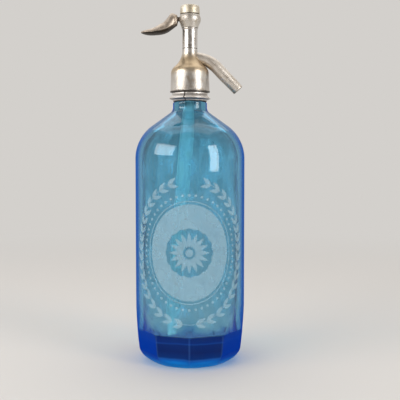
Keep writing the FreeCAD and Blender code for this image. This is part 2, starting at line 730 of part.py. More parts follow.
def make_top_cap():
    """Screwed cap that holds the spring down."""
    body = new_body("top_cap")
    turn(body, [
        ("0", "level.cap_top"),
        ("0", "level.cap_ceiling"),
        ("dim.housing_bore", "level.cap_ceiling"),
        ("dim.housing_bore", "level.cap_thread_foot"),
        ("dim.cap_thread_radius", "level.cap_thread_foot"),
        ("dim.cap_thread_radius", "level.cap_foot"),
        ("dim.cap_radius", "level.cap_foot"),
        ("dim.cap_radius", "level.cap_top - dim.cap_edge"),
        ("dim.cap_radius - dim.cap_edge", "level.cap_top", "dim.cap_edge", "left"),
    ])
    return body


# --------------------------------------------------------------------------------- valve
def make_valve_seat():
    """Brass insert with a raised lip, pressed into the floor of the chamber."""
    body = new_body("valve_seat")
    turn(body, [
        ("dim.seat_bore", "level.chamber_foot"),
        ("dim.chamber_radius - dim.fit_clearance", "level.chamber_foot"),
        ("dim.chamber_radius - dim.fit_clearance", "level.seat_top"),
        ("dim.seat_bore + dim.seat_lip_width", "level.seat_top"),
        ("dim.seat_bore + dim.seat_lip_width / 2", "level.seat_top + dim.seat_lip_height"),
        ("dim.seat_bore", "level.seat_top + dim.seat_lip_height"),
    ])
    return body


def make_valve_disc():
    """Rubber disc that closes on the seat."""
    body = new_body("valve_disc")
    turn(body, [
        ("dim.screw_radius + dim.fit_clearance", "level.disc_foot"),
        ("dim.disc_radius", "level.disc_foot"),
        ("dim.disc_radius", "level.disc_top"),
        ("dim.screw_radius + dim.fit_clearance", "level.disc_top"),
    ])
    return body


def make_valve_holder():
    """Brass cup that carries the disc, screwed on the rod."""
    body = new_body("valve_holder")
    turn(body, [
        ("dim.disc_radius + dim.fit_clearance", "level.holder_foot"),
        ("dim.holder_radius", "level.holder_foot"),
        ("dim.holder_radius", "level.holder_top"),
        ("dim.rod_radius + dim.fit_clearance", "level.holder_top"),
        ("dim.rod_radius + dim.fit_clearance", "level.rod_foot"),
        ("dim.screw_radius + dim.fit_clearance", "level.rod_foot"),
        ("dim.screw_radius + dim.fit_clearance", "level.disc_top"),
        ("dim.disc_radius + dim.fit_clearance", "level.disc_top"),
    ])
    return body


def make_disc_screw():
    """Screw that holds the disc in its cup."""
    body = new_body("disc_screw")
    turn(body, [
        ("0", "level.screw_foot"),
        ("dim.screw_head_radius", "level.screw_foot"),
        ("dim.screw_head_radius", "level.disc_foot"),
        ("dim.screw_radius", "level.disc_foot"),
        ("dim.screw_radius", "level.screw_top - 2 * dim.fit_clearance"),
        ("0", "level.screw_top - 2 * dim.fit_clearance"),
    ])
    return body


def make_piston_rod():
    """Brass rod with a mortised head that the lever's finger lifts."""
    body = new_body("piston_rod")
    turn(body, [
        ("0", "level.rod_foot + dim.fit_clearance"),
        ("dim.rod_radius", "level.rod_foot + dim.fit_clearance"),
        ("dim.rod_radius", "level.head_foot"),
        ("dim.rod_head_radius", "level.head_foot"),
        ("dim.rod_head_radius", "level.head_top"),
        ("dim.spring_guide_radius", "level.head_top"),
        ("dim.spring_guide_radius", "level.head_top + dim.spring_guide_length"),
        ("0", "level.head_top + dim.spring_guide_length"),
    ])
    extrude(body, "XZ_Plane", lambda sketch: outline(sketch, [
        ("-2 * dim.rod_head_radius", "level.nose_level - level.mortise_half"),
        ("2 * dim.rod_head_radius", "level.nose_level - level.mortise_half"),
        ("2 * dim.rod_head_radius", "level.nose_level + level.mortise_half"),
        ("-2 * dim.rod_head_radius", "level.nose_level + level.mortise_half"),
    ]), "dim.finger_width + 2 * dim.mortise_clearance", "Pocket")
    return body


def make_spring_collar():
    """Brass collar on the rod's head, under the spring."""
    body = new_body("spring_collar")
    turn(body, [
        ("dim.spring_guide_radius + dim.fit_clearance", "level.head_top"),
        ("dim.spring_collar_radius", "level.head_top"),
        ("dim.spring_collar_radius", "level.spring_foot"),
        ("dim.spring_guide_radius + dim.fit_clearance", "level.spring_foot"),
    ])
    return body


def make_return_spring():
    """Open coil spring between the collar and the cap's ceiling."""
    body = new_body("return_spring")
    sketch = new_sketch(body, "XZ_Plane", "return_spring_wire")
    circle(sketch, "dim.spring_radius", "level.spring_foot + dim.spring_wire_radius",
           "dim.spring_wire_radius")
    coil = body.newObject("PartDesign::AdditiveHelix", "return_spring_coil")
    coil.Profile = sketch
    coil.ReferenceAxis = (sketch, ["V_Axis"])
    coil.Mode = "height-turns-angle"
    coil.setExpression("Height", "level.cap_ceiling - level.spring_foot"
                                 " - 2 * dim.spring_wire_radius")
    coil.setExpression("Turns", "dim.spring_turns")
    return body


# --------------------------------------------------------------------------------- lever
LEVER_STATIONS = ("root", "swell", "waist", "palm", "tip")


def make_lever():
    """Cast lever: horn-shaped thumb piece, arm, hub on the pin and finger in the rod."""
    body = new_body("lever")
    sections = []
    for station in LEVER_STATIONS:
        reach, half_width, drop, crest, keel = [
            "dim.%s_%s" % (station, size)
            for size in ("reach", "half_width", "drop", "crest", "keel")]
        sketch = new_sketch(body, "YZ_Plane", "lever_" + station, "-" + reach)
        line = "level.pin_level - %s" % drop
        above = "(%s ^ 2 + %s ^ 2) / (2 * %s)" % (half_width, crest, crest)
        below = "(%s ^ 2 + %s ^ 2) / (2 * %s)" % (half_width, keel, keel)
        lens(sketch, half_width, line, crest, above, keel, below)
        sections.append(sketch)
    loft = body.newObject("PartDesign::AdditiveLoft", "lever_thumb_piece")
    loft.Profile = sections[0]
    loft.Sections = sections[1:]
    doc.recompute()
    extrude(body, "XZ_Plane", lambda sketch: outline(sketch, [
        ("-dim.root_reach - dim.hub_radius", "level.pin_level - dim.arm_height / 2"),
        ("-dim.pin_offset", "level.pin_level - dim.arm_height / 2"),
        ("-dim.pin_offset", "level.pin_level + dim.arm_height / 2"),
        ("-dim.root_reach - dim.hub_radius", "level.pin_level + dim.arm_height / 2"),
    ]), "dim.arm_width")
    extrude(body, "XZ_Plane",
            lambda sketch: circle(sketch, "-dim.pin_offset", "level.pin_level",
                                  "dim.hub_radius"),
            "dim.arm_width")
    # a slim finger runs from the hub to a round nose in the rod's mortise
    slant_x = "sin(level.half_travel * 1 deg) * dim.finger_height / 2"
    slant_z = "cos(level.half_travel * 1 deg) * dim.finger_height / 2"
    extrude(body, "XZ_Plane", lambda sketch: outline(sketch, [
        ("-dim.pin_offset - %s" % slant_x, "level.pin_level - %s" % slant_z),
        ("level.nose_x - %s" % slant_x, "level.nose_level - %s" % slant_z),
        ("level.nose_x + %s" % slant_x, "level.nose_level + %s" % slant_z),
        ("-dim.pin_offset + %s" % slant_x, "level.pin_level + %s" % slant_z),
    ]), "dim.finger_width")
    extrude(body, "XZ_Plane",
            lambda sketch: circle(sketch, "level.nose_x", "level.nose_level",
                                  "dim.nose_radius"),
            "dim.finger_width")
    extrude(body, "XZ_Plane",
            lambda sketch: circle(sketch, "-dim.pin_offset", "level.pin_level",
                                  "dim.pin_radius + dim.running_clearance"),
            "2 * dim.slot_width", "Pocket")
    return body


def lens(sketch, half_width, line, crest, above, keel, below):
    """A section of two arcs that meet in a sharp edge on each side."""
    middle = value(line)
    left = FreeCAD.Vector(-value(half_width), middle, 0)
    right = FreeCAD.Vector(value(half_width), middle, 0)
    top = FreeCAD.Vector(0, middle + value(crest), 0)
    bottom = FreeCAD.Vector(0, middle - value(keel), 0)
    upper = sketch.addGeometry(Part.Arc(right, top, left), False)
    lower = sketch.addGeometry(Part.Arc(left, bottom, right), False)
    sketch.addConstraint(Sketcher.Constraint("Coincident", upper, 2, lower, 1))
    sketch.addConstraint(Sketcher.Constraint("Coincident", lower, 2, upper, 1))
    fix(sketch, "DistanceX", (-1, 1, upper, 1), half_width)
    fix(sketch, "DistanceY", (-1, 1, upper, 1), line)
    fix(sketch, "DistanceX", (-1, 1, lower, 1), "-" + half_width)
    fix(sketch, "DistanceY", (-1, 1, lower, 1), line)
    fix(sketch, "Radius", (upper,), above)
    fix(sketch, "Radius", (lower,), below)


# ------------------------------------------------------------------------ tube's fittings
def make_tube_ferrule():
    """Brass ferrule that screws up into the head and holds the tube's seal."""
    body = new_body("tube_ferrule")
    turn(body, [
        ("dim.tube_top_radius + dim.ring_clearance", "level.ferrule_foot"),
        ("dim.ferrule_radius - dim.ferrule_lip / 2", "level.ferrule_foot"),
        ("dim.ferrule_radius", "level.ferrule_foot + dim.ferrule_lip / 2"),
        ("dim.ferrule_radius", "level.gasket_top"),
        ("level.ferrule_thread", "level.gasket_top"),
        ("level.ferrule_thread", "level.ferrule_top"),
        ("dim.channel_radius", "level.ferrule_top"),
        ("dim.channel_radius", "level.ferrule_ceiling"),
        ("level.ferrule_bore", "level.ferrule_ceiling"),
        ("level.ferrule_bore", "level.seal_foot"),
        ("dim.tube_top_radius + dim.ring_clearance", "level.seal_foot"),
    ])
    return body


def make_tube_seal():
    """Rubber sleeve between tube and ferrule."""
    body = new_body("tube_seal")
    turn(body, [
        ("dim.tube_top_radius + dim.fit_clearance", "level.seal_foot"),
        ("level.ferrule_bore - dim.fit_clearance", "level.seal_foot"),
        ("level.ferrule_bore - dim.fit_clearance", "level.tube_top"),
        ("dim.tube_top_radius + dim.fit_clearance", "level.tube_top"),
    ])
    return body


pieces = [
    make_bottle(),
    make_ring_half("neck_ring_left", 1),
    make_ring_half("neck_ring_right", -1),
    make_neck_gasket(),
    make_tube_ferrule(),
    make_tube_seal(),
    make_dip_tube(),
    make_head_body(),
    make_spout(),
    make_valve_seat(),
    make_valve_disc(),
    make_valve_holder(),
    make_disc_screw(),
    make_stem_packing(),
    make_gland(),
    make_upper_stem(),
    make_lever_housing(),
    make_lever_pin(),
    make_piston_rod(),
    make_spring_collar(),
    make_return_spring(),
    make_lever(),
    make_cap_washer(),
    make_top_cap(),
]
doc.recompute()

faults = [item.Name for item in doc.Objects
          if {"Invalid", "Error"} & set(item.State)]
for piece in pieces:
    if piece.Shape.isNull() or not piece.Shape.isValid() or not piece.Shape.Solids:
        faults.append(piece.Label)
if faults:
    raise RuntimeError("failed: " + ", ".join(sorted(set(faults))))

for piece in pieces:
    piece.Shape.exportStep("parts/%s.step" % piece.Label)
    print("%-18s %2d solid, volume %10.1f, z %7.2f to %7.2f" % (
        piece.Label, len(piece.Shape.Solids), piece.Shape.Volume,
        piece.Shape.BoundBox.ZMin, piece.Shape.BoundBox.ZMax))
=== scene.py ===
"""Looks of a soda siphon: blue pressed glass bottle under a worn nickelled pewter head.

Lengths in the sections are real millimetres, turned to metres as a mesh is written.
"""
import json
import math
import bmesh
import bpy
import numpy as np
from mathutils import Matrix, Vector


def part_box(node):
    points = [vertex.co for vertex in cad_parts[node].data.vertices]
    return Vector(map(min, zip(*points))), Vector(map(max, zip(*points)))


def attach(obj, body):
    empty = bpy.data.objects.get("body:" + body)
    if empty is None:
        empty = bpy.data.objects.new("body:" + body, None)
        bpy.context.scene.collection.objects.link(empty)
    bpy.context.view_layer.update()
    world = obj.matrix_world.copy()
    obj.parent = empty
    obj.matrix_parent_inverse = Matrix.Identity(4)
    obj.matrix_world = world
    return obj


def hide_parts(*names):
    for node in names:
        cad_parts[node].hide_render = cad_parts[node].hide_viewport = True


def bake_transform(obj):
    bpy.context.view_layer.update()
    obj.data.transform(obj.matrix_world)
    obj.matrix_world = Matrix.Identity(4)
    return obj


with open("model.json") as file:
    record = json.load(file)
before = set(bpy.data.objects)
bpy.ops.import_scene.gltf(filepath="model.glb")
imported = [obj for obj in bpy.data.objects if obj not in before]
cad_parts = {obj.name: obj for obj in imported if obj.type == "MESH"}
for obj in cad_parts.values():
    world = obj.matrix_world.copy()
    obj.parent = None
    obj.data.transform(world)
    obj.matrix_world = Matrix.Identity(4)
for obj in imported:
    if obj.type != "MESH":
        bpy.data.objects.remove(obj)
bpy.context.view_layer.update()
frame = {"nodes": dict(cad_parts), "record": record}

# ---------------- camera
# It stands in front of the bottle at a little over half its height and looks slightly
# down. The lens is a short portrait one, in millimetres on a 36 mm wide sensor.
MM = 0.001
CAMERA_PLACE = (9.0, -632.0, 181.3)
CAMERA_PITCH = 3.4
CAMERA_LENS = 63.0

camera_data = bpy.data.cameras.new("camera")
camera_data.lens = CAMERA_LENS
camera_data.sensor_width = 36.0
camera = bpy.data.objects.new("camera", camera_data)
camera.location = [length * MM for length in CAMERA_PLACE]
camera.rotation_euler = (math.radians(90.0 - CAMERA_PITCH), 0.0, 0.0)
bpy.context.scene.collection.objects.link(camera)
bpy.context.scene.camera = camera


# ---------------- glass bottle
# Soda-lime glass tinted blue with cobalt, blown and pressed in a hinged mould: a round
# body with a heavy solid foot, whose side is ground into ten leaning flats.
BODY_RADIUS = 49.0
GLASS_WALL = 5.5
HEEL_HEIGHT = 20.0
HEEL_RADIUS = 22.0
FOOT_RING_WIDTH = 4.2
FOOT_RING_INNER = 32.0
PUNT_DEPTH = 3.0
FLOOR_HEIGHT = 17.0
FLOOR_FILLET = 12.0
FLATS = 10
FLAT_FOOT_RADIUS = 43.9
FLAT_LEAN = math.radians(6.0)
FLAT_EDGE = 0.25
FLATS_TOP = 60.0
FLAT_COLUMNS = 24
SHOULDER_HEIGHT = 181.0
SHOULDER_RADIUS = 36.3
SHOULDER_SLOPE = math.radians(35.5)
NECK_RADIUS = 15.2
NECK_BORE = 10.0
NECK_FILLET = 6.0
NECK_BORE_FILLET = 12.0
NECK_EDGE = 1.4
GROOVE_RADIUS = 12.4
GROOVE_LENGTH = 9.6
BEAD_RADIUS = 14.0
BEAD_LENGTH = 12.8
BEAD_EDGE = 1.2
BOTTLE_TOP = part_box("bottle")[1].z / MM

# the hand-made glass's unevenness, as plane waves: whole turns round the body, radians a
# millimetre of height, and phase; short ones where the glass set against its thick floor
SLOW_WAVES = [(2, 0.021, 0.4), (3, -0.034, 1.9), (5, 0.047, 3.1), (1, 0.061, 5.0),
              (4, 0.015, 2.2)]
SHORT_WAVES = [(23, 0.55, 0.7), (31, -0.8, 2.0), (14, 1.1, 4.1), (41, 0.3, 5.2)]
OUTER_RIPPLE = 0.05
INNER_RIPPLE = 0.32
INNER_TURN = 1.3
FLOOR_WAVES = 0.25
WAVES_TOP = 42.0

# loss per metre: strong in red, moderate in green, slight in blue
BLUE_ABSORPTION = (135.0, 38.0, 12.0)
# the tint from the shoulder up, painted darker as shade
SHOULDER_SHADE_TINT = "#ccced2"
# how edge on a wall is, from 0 to 1, where its deep edge begins and where it is full
EDGE_START, EDGE_FULL = 0.51, 0.78
FOOT_EDGE = "#03359c"
FOOT_EDGE_GAIN = 0.22
FOOT_EDGE_COVER = 0.98
FOOT_COVER = 0.93
FOOT_TOP = 1.75 * FLOOR_HEIGHT
FOOT_RIDGE_HIGHLIGHT = "#4f86d8"
RIDGE_HIGHLIGHT_COVER = 0.13
# the foot's colours up its height: azure painted light where the heel gathers light from
# below, then a thin pale line of painted light, then navy; a fainter painted reflection lies
# where the floor's edge is mirrored
FOOT_TONES_AND_PAINTED_LIGHT = [(0.0, "#16b6ff"), (0.16, "#0a9af2"), (0.27, "#0660bc"), (0.31, "#1c58ac"),
               (0.36, "#063074"), (0.55, "#08225c"), (0.76, "#062462"), (0.80, "#103a86"),
               (0.84, "#03246c"), (1.0, "#02205f")]
GROUND_GLASS = "#dbe6ea"


def straight(start, end, spacing):
    """Points from start to end, the end left out, no further apart than spacing."""
    start, end = np.array(start, float), np.array(end, float)
    count = max(1, int(math.ceil(np.linalg.norm(end - start) / spacing)))
    return start + (end - start) * np.arange(count)[:, None] / count


def trace(start, *parts):
    """Points along a line from start, with the last point left out.

    A part is a straight run, (end, spacing), or an arc from angle first to angle last in
    radians, (centre, radius, first, last, spacing).
    """
    runs = []
    for part in parts:
        if len(part) == 2:
            runs.append(straight(start, *part))
            start = part[0]
        else:
            centre, radius, first, last, spacing = part
            count = max(2, int(math.ceil(abs(last - first) * radius / spacing)))
            angle = first + (last - first) * np.arange(count + 1) / count
            bend = np.array(centre) + radius * np.column_stack([np.cos(angle), np.sin(angle)])
            runs.append(bend[:-1])
            start = bend[-1]
    return np.vstack(runs)


def grid_of(x, y, z):
    """One grid of points from three arrays that broadcast to its shape."""
    return np.stack(np.broadcast_arrays(x, y, z), axis=-1)


def round_axis(radius, angle, height):
    """A grid of points from their radius, angle round the axis and height."""
    return grid_of(radius * np.cos(angle), radius * np.sin(angle), height)


def full_turn(count):
    """The angles of that many equal steps round."""
    return np.arange(count) * 2 * math.pi / count


def unevenness(waves, angle, height):
    """The mean of the waves' sines.

    Each is the sine of turns times angle plus rise times height plus phase.
    """
    return sum(np.sin(turns * angle + rise * height + phase)
               for turns, rise, phase in waves) / len(waves)


def soft_least(first, second, width):
    """The lesser of two lengths, rounded over that width where they cross.

    From their sum it takes the hypotenuse of their difference and the width, and halves
    what is left.
    """
    return 0.5 * (first + second - np.sqrt((first - second) ** 2 + width ** 2))


def glass_radius(angle, height, radius):
    """The outside of the glass: the turned radius cut back by the leaning flats.

    A flat's distance from the axis is its distance at the middle over the cosine of the
    angle from there; it and its neighbour meet in a soft edge. The round heel below is drawn
    in to the same ten sides, less and less towards the foot: its radius times the cosine of
    half a side over that cosine.
    """
    sector = 2 * math.pi / FLATS
    off = np.abs((angle + sector / 2) % sector - sector / 2)
    middle = FLAT_FOOT_RADIUS + height * math.tan(FLAT_LEAN)
    flat = soft_least(middle / np.cos(off), middle / np.cos(sector - off), FLAT_EDGE)
    sided = soft_least(1 / np.cos(off), 1 / np.cos(sector - off), FLAT_EDGE / BODY_RADIUS)
    sharpness = np.clip(0.25 + height / (0.6 * HEEL_HEIGHT), 0.0, 1.0)
    drawn_in = sharpness * np.clip((radius - FOOT_RING_INNER) / FOOT_RING_WIDTH, 0.0, 1.0)
    heel = radius * (1 - drawn_in * (1 - sided * math.cos(sector / 2)))
    based = np.where(height < HEEL_HEIGHT, heel, radius)
    cut = soft_least(based, flat, FLAT_EDGE)
    turned = np.where((height < FLATS_TOP) & (radius > 0.8 * BODY_RADIUS), cut, based)
    fade = np.clip((radius - 0.6 * BODY_RADIUS) / (0.3 * BODY_RADIUS), 0.0, 1.0)
    return turned + fade * OUTER_RIPPLE * unevenness(SLOW_WAVES, angle, height)


def inner_radius(angle, height, radius):
    """The inside of the glass: both kinds of wave, the short ones only near the floor.

    Both die out towards the axis, between 40 and 20 mm from it. The slow ones are turned
    from those outside.
    """
    fade = np.clip((radius - 20.0) / 20.0, 0.0, 1.0)
    low = np.clip((WAVES_TOP - height) / (WAVES_TOP - FLOOR_HEIGHT), 0.0, 1.0)
    return radius + fade * (INNER_RIPPLE * unevenness(SLOW_WAVES, angle + INNER_TURN, height)
                            + FLOOR_WAVES * low * unevenness(SHORT_WAVES, angle, height))


def hex_color(code):
    """An sRGB hex colour as linear red, green, blue and one."""
    channels = [int(code[place:place + 2], 16) / 255 for place in (1, 3, 5)]
    return [c / 12.92 if c <= 0.04045 else ((c + 0.055) / 1.055) ** 2.4
            for c in channels] + [1.0]


def with_nodes(owner):
    """A new material or world emptied of nodes, and the function that adds one to it."""
    owner.use_nodes = True
    tree = owner.node_tree
    tree.nodes.clear()

    def add(kind, *inputs, **settings):
        """Add a shader node with its settings, and a value or a source for each input.

        The inputs are given in their order, or by name in a dict. A source is a socket, or a
        node, which stands for the first of its outputs in use.
        """
        node = tree.nodes.new("ShaderNode" + kind)
        for name, setting in settings.items():
            setattr(node, name, setting)
        by_name = inputs and isinstance(inputs[0], dict)
        for name, source in inputs[0].items() if by_name else enumerate(inputs):
            if isinstance(source, bpy.types.Node):
                source = next(socket for socket in source.outputs if socket.enabled)
            if isinstance(source, bpy.types.NodeSocket):
                tree.links.new(source, node.inputs[name])
            else:
                node.inputs[name].default_value = (
                    hex_color(source) if isinstance(source, str) else source)
        return node
    return owner, add


def new_material(name):
    """An empty material, the function that adds nodes to it, and its Object coordinates."""
    material, add = with_nodes(bpy.data.materials.new(name))
    return material, add, add("TexCoord").outputs["Object"]


SMOOTH = {"interpolation_type": "SMOOTHSTEP"}


def faces_piece(name, points, quads, body, material, ends=False):
    """A smooth piece from points in millimetres and quads of their numbers.

    Points that coincide at poles and seams are merged, open ends are filled if asked, and
    faces point outwards.
    """
    mesh = bpy.data.meshes.new(name)
    mesh.from_pydata((points * MM).tolist(), [], quads.tolist())
    mesh.polygons.foreach_set("use_smooth", np.ones(len(mesh.polygons), bool))
    mesh.materials.append(material)
    work = bmesh.new()
    work.from_mesh(mesh)
    bmesh.ops.remove_doubles(work, verts=work.verts, dist=1e-7)
    bmesh.ops.dissolve_degenerate(work, edges=work.edges, dist=1e-8)
    if ends:
        bmesh.ops.holes_fill(work, edges=[edge for edge in work.edges if edge.is_boundary])
        for face in work.faces:
            face.smooth = len(face.verts) == 4
    bmesh.ops.recalc_face_normals(work, faces=work.faces)
    work.to_mesh(mesh)
    work.free()
    piece = bpy.data.objects.new(name, mesh)
    bpy.context.scene.collection.objects.link(piece)
    if body:
        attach(piece, body)
    return piece


def cells(numbers):
    """The quads of a grid of point numbers: each cell's four corners in turn."""
    return np.stack([numbers[:-1, :-1], numbers[:-1, 1:], numbers[1:, 1:], numbers[1:, :-1]],
                    axis=-1).reshape(-1, 4)


def grid_piece(name, points, body, material, round_across=True, round_along=False,
               ends=False):
    """A smooth piece from a grid of points in millimetres, (along, across, 3).

    Each cell becomes a quad; a round direction is closed by joining its last row to its
    first. The piece rides on the body and takes the material.
    """
    numbers = np.arange(points[..., 0].size).reshape(points.shape[:2])
    if round_across:
        numbers = np.hstack([numbers, numbers[:, :1]])
    if round_along:
        numbers = np.vstack([numbers, numbers[:1]])
    return faces_piece(name, points.reshape(-1, 3), cells(numbers), body, material, ends)


def clear_glass(name, absorption, tint_code, edge_code, edge_cover, roughness, clearness=1.0,
                footed=False):
    """Clear glass whose tint deepens with its thickness.

    absorption is how fast red, green and blue light is lost, per metre. Where the outside
    of an upright wall is seen edge on, light runs so far inside the wall that little but the
    edge colour comes out: that covers the rest up to edge_cover. What clearness leaves out
    is a milky white. Shadow rays pass straight through, so that the glass throws a light,
    tinted shadow. A footed piece has the bottle's heavy foot, and a tint painted darker from
    the shoulder up as shade.
    """
    material, add, spot = new_material(name)
    slant = add("LayerWeight", {"Blend": 0.5}).outputs["Facing"]
    tint, edge_color, strongest = tint_code, edge_code, edge_cover
    if footed:
        height = add("SeparateXYZ", spot).outputs["Z"]
        # the wall thickens towards the foot, so its deep edge is wider and stronger there
        heavier = add("MapRange", {
            "Value": height, "From Min": FLATS_TOP * MM, "From Max": FLOOR_HEIGHT * MM},
            **SMOOTH)
        slant = add("Math", heavier, FOOT_EDGE_GAIN, slant, operation="MULTIPLY_ADD")
        strongest = add("Math", heavier, FOOT_EDGE_COVER - edge_cover, edge_cover,
                        operation="MULTIPLY_ADD")
        edge_color = add("Mix", {
            "Factor": heavier, "A": edge_color, "B": FOOT_EDGE}, data_type="RGBA")
        # the tint is painted darker from the shoulder up, as shade on the shoulder and neck
        shaded_top = add("MapRange", {
            "Value": height, "From Min": (SHOULDER_HEIGHT - 8.0) * MM,
            "From Max": (SHOULDER_HEIGHT + 30.0) * MM}, **SMOOTH)
        tint = add("Mix", {"Factor": shaded_top, "A": tint, "B": SHOULDER_SHADE_TINT}, data_type="RGBA")
    grazing = add("MapRange", {
        "Value": slant, "From Min": EDGE_START, "From Max": EDGE_FULL, "To Max": strongest},
        **SMOOTH)
    # a wall is upright by one less the square of its normal's rise
    geometry = add("NewGeometry")
    rise = add("SeparateXYZ", geometry.outputs["Normal"]).outputs["Z"]
    rise_squared = add("Math", rise, rise, operation="MULTIPLY")
    upright = add("Math", 1.0, rise_squared, operation="SUBTRACT")
    outside = add("Math", 1.0, geometry.outputs["Backfacing"], operation="SUBTRACT")
    outer_wall = add("Math", upright, outside, operation="MULTIPLY")
    edge = add("Math", outer_wall, grazing, operation="MULTIPLY")
    surface = add("BsdfPrincipled", {
        "Base Color": tint, "Roughness": roughness, "IOR": 1.5,
        "Transmission Weight": clearness})
    depth = add("BsdfPrincipled", {
        "Base Color": edge_color, "Roughness": 0.5, "Specular IOR Level": 0.0})
    if footed:
        surface = solid_foot(add, spot, height, outside, surface)
    surface = add("MixShader", edge, surface, depth)
    if footed:
        surface = worn_ground(add, height, rise_squared, surface)
    shadow_ray = add("LightPath").outputs["Is Shadow Ray"]
    surface = add("MixShader", shadow_ray, surface, add("BsdfTransparent"))
    loss = max(absorption)
    volume = add("VolumeAbsorption", {
        "Color": [1.0 - share / loss for share in absorption] + [1.0], "Density": loss})
    add("OutputMaterial", {"Surface": surface, "Volume": volume})
    return material


def solid_foot(add, spot, height, outside, surface):
    """The bottle's solid foot: glossy glass so thick that only its own colour comes out.

    It reaches to just over the floor's fillet, where the plain wall begins. Its colours,
    with painted light on the heel, wander up and down by two millimetres over patches of
    30 mm, and a pale painted highlight runs along each ridge between two flats: there the
    angle round the axis, folded into half a flat, is at its greatest.
    """
    patches = add("TexNoise", {"Vector": spot, "Scale": 33.0, "Detail": 2.0})
    wander = add("Math", patches, 4.0 * MM, height, operation="MULTIPLY_ADD")
    share = add("MapRange", {
        "Value": wander, "From Min": 2.0 * MM, "From Max": (FOOT_TOP + 2.0) * MM})
    # the foot's own blues, with painted light on the heel and two pale painted lines
    ramp = add("ValToRGB", {"Fac": share})
    stops = ramp.color_ramp.elements
    while len(stops) < len(FOOT_TONES_AND_PAINTED_LIGHT):
        stops.new(0.5)
    for stop, (position, code) in zip(stops, FOOT_TONES_AND_PAINTED_LIGHT):
        stop.position = position
        stop.color = hex_color(code)
    sides = add("SeparateXYZ", spot).outputs
    angle = add("Math", sides["Y"], sides["X"], operation="ARCTAN2")
    folded = add("Math", angle, math.pi / FLATS, operation="PINGPONG")
    # painted highlight along each ridge between two flats
    ridge = add("MapRange", {
        "Value": folded, "From Min": math.pi / FLATS - 0.025,
        "From Max": math.pi / FLATS - 0.006, "To Max": RIDGE_HIGHLIGHT_COVER}, **SMOOTH)
    lined = add("Mix", {"Factor": ridge, "A": ramp, "B": FOOT_RIDGE_HIGHLIGHT}, data_type="RGBA")
    foot = add("BsdfPrincipled", {
        "Base Color": lined, "Roughness": 0.03, "Specular IOR Level": 0.06})
    solid = add("MapRange", {
        "Value": height, "From Min": (FOOT_TOP + 0.8) * MM, "From Max": (FOOT_TOP - 0.8) * MM,
        "To Max": FOOT_COVER}, **SMOOTH)
    # the hollow's wall and floor, which lie above the floor and inside the wall, stay clear
    flat_spot = add("CombineXYZ", sides["X"], sides["Y"])
    from_axis = add("VectorMath", flat_spot, operation="LENGTH")
    outer = add("Math", from_axis, (BODY_RADIUS - GLASS_WALL + 1.2) * MM,
                operation="GREATER_THAN")
    under = add("Math", height, (FLOOR_HEIGHT - 0.5) * MM, operation="LESS_THAN")
    skin = add("Math", outer, under, operation="MAXIMUM")
    seen = add("Math", skin, outside, operation="MULTIPLY")
    cover = add("Math", solid, seen, operation="MULTIPLY")
    return add("MixShader", cover, surface, foot)


def worn_ground(add, height, rise_squared, surface):
    """The foot ring's level underside, worn matt by what the bottle stands on."""
    low = add("Math", height, (PUNT_DEPTH + 0.5) * MM, operation="LESS_THAN")
    level = add("Math", rise_squared, 0.87, operation="GREATER_THAN")
    worn = add("Math", low, level, operation="MULTIPLY")
    matt = add("BsdfPrincipled", {"Base Color": GROUND_GLASS, "Roughness": 0.8})
    return add("MixShader", worn, surface, matt)


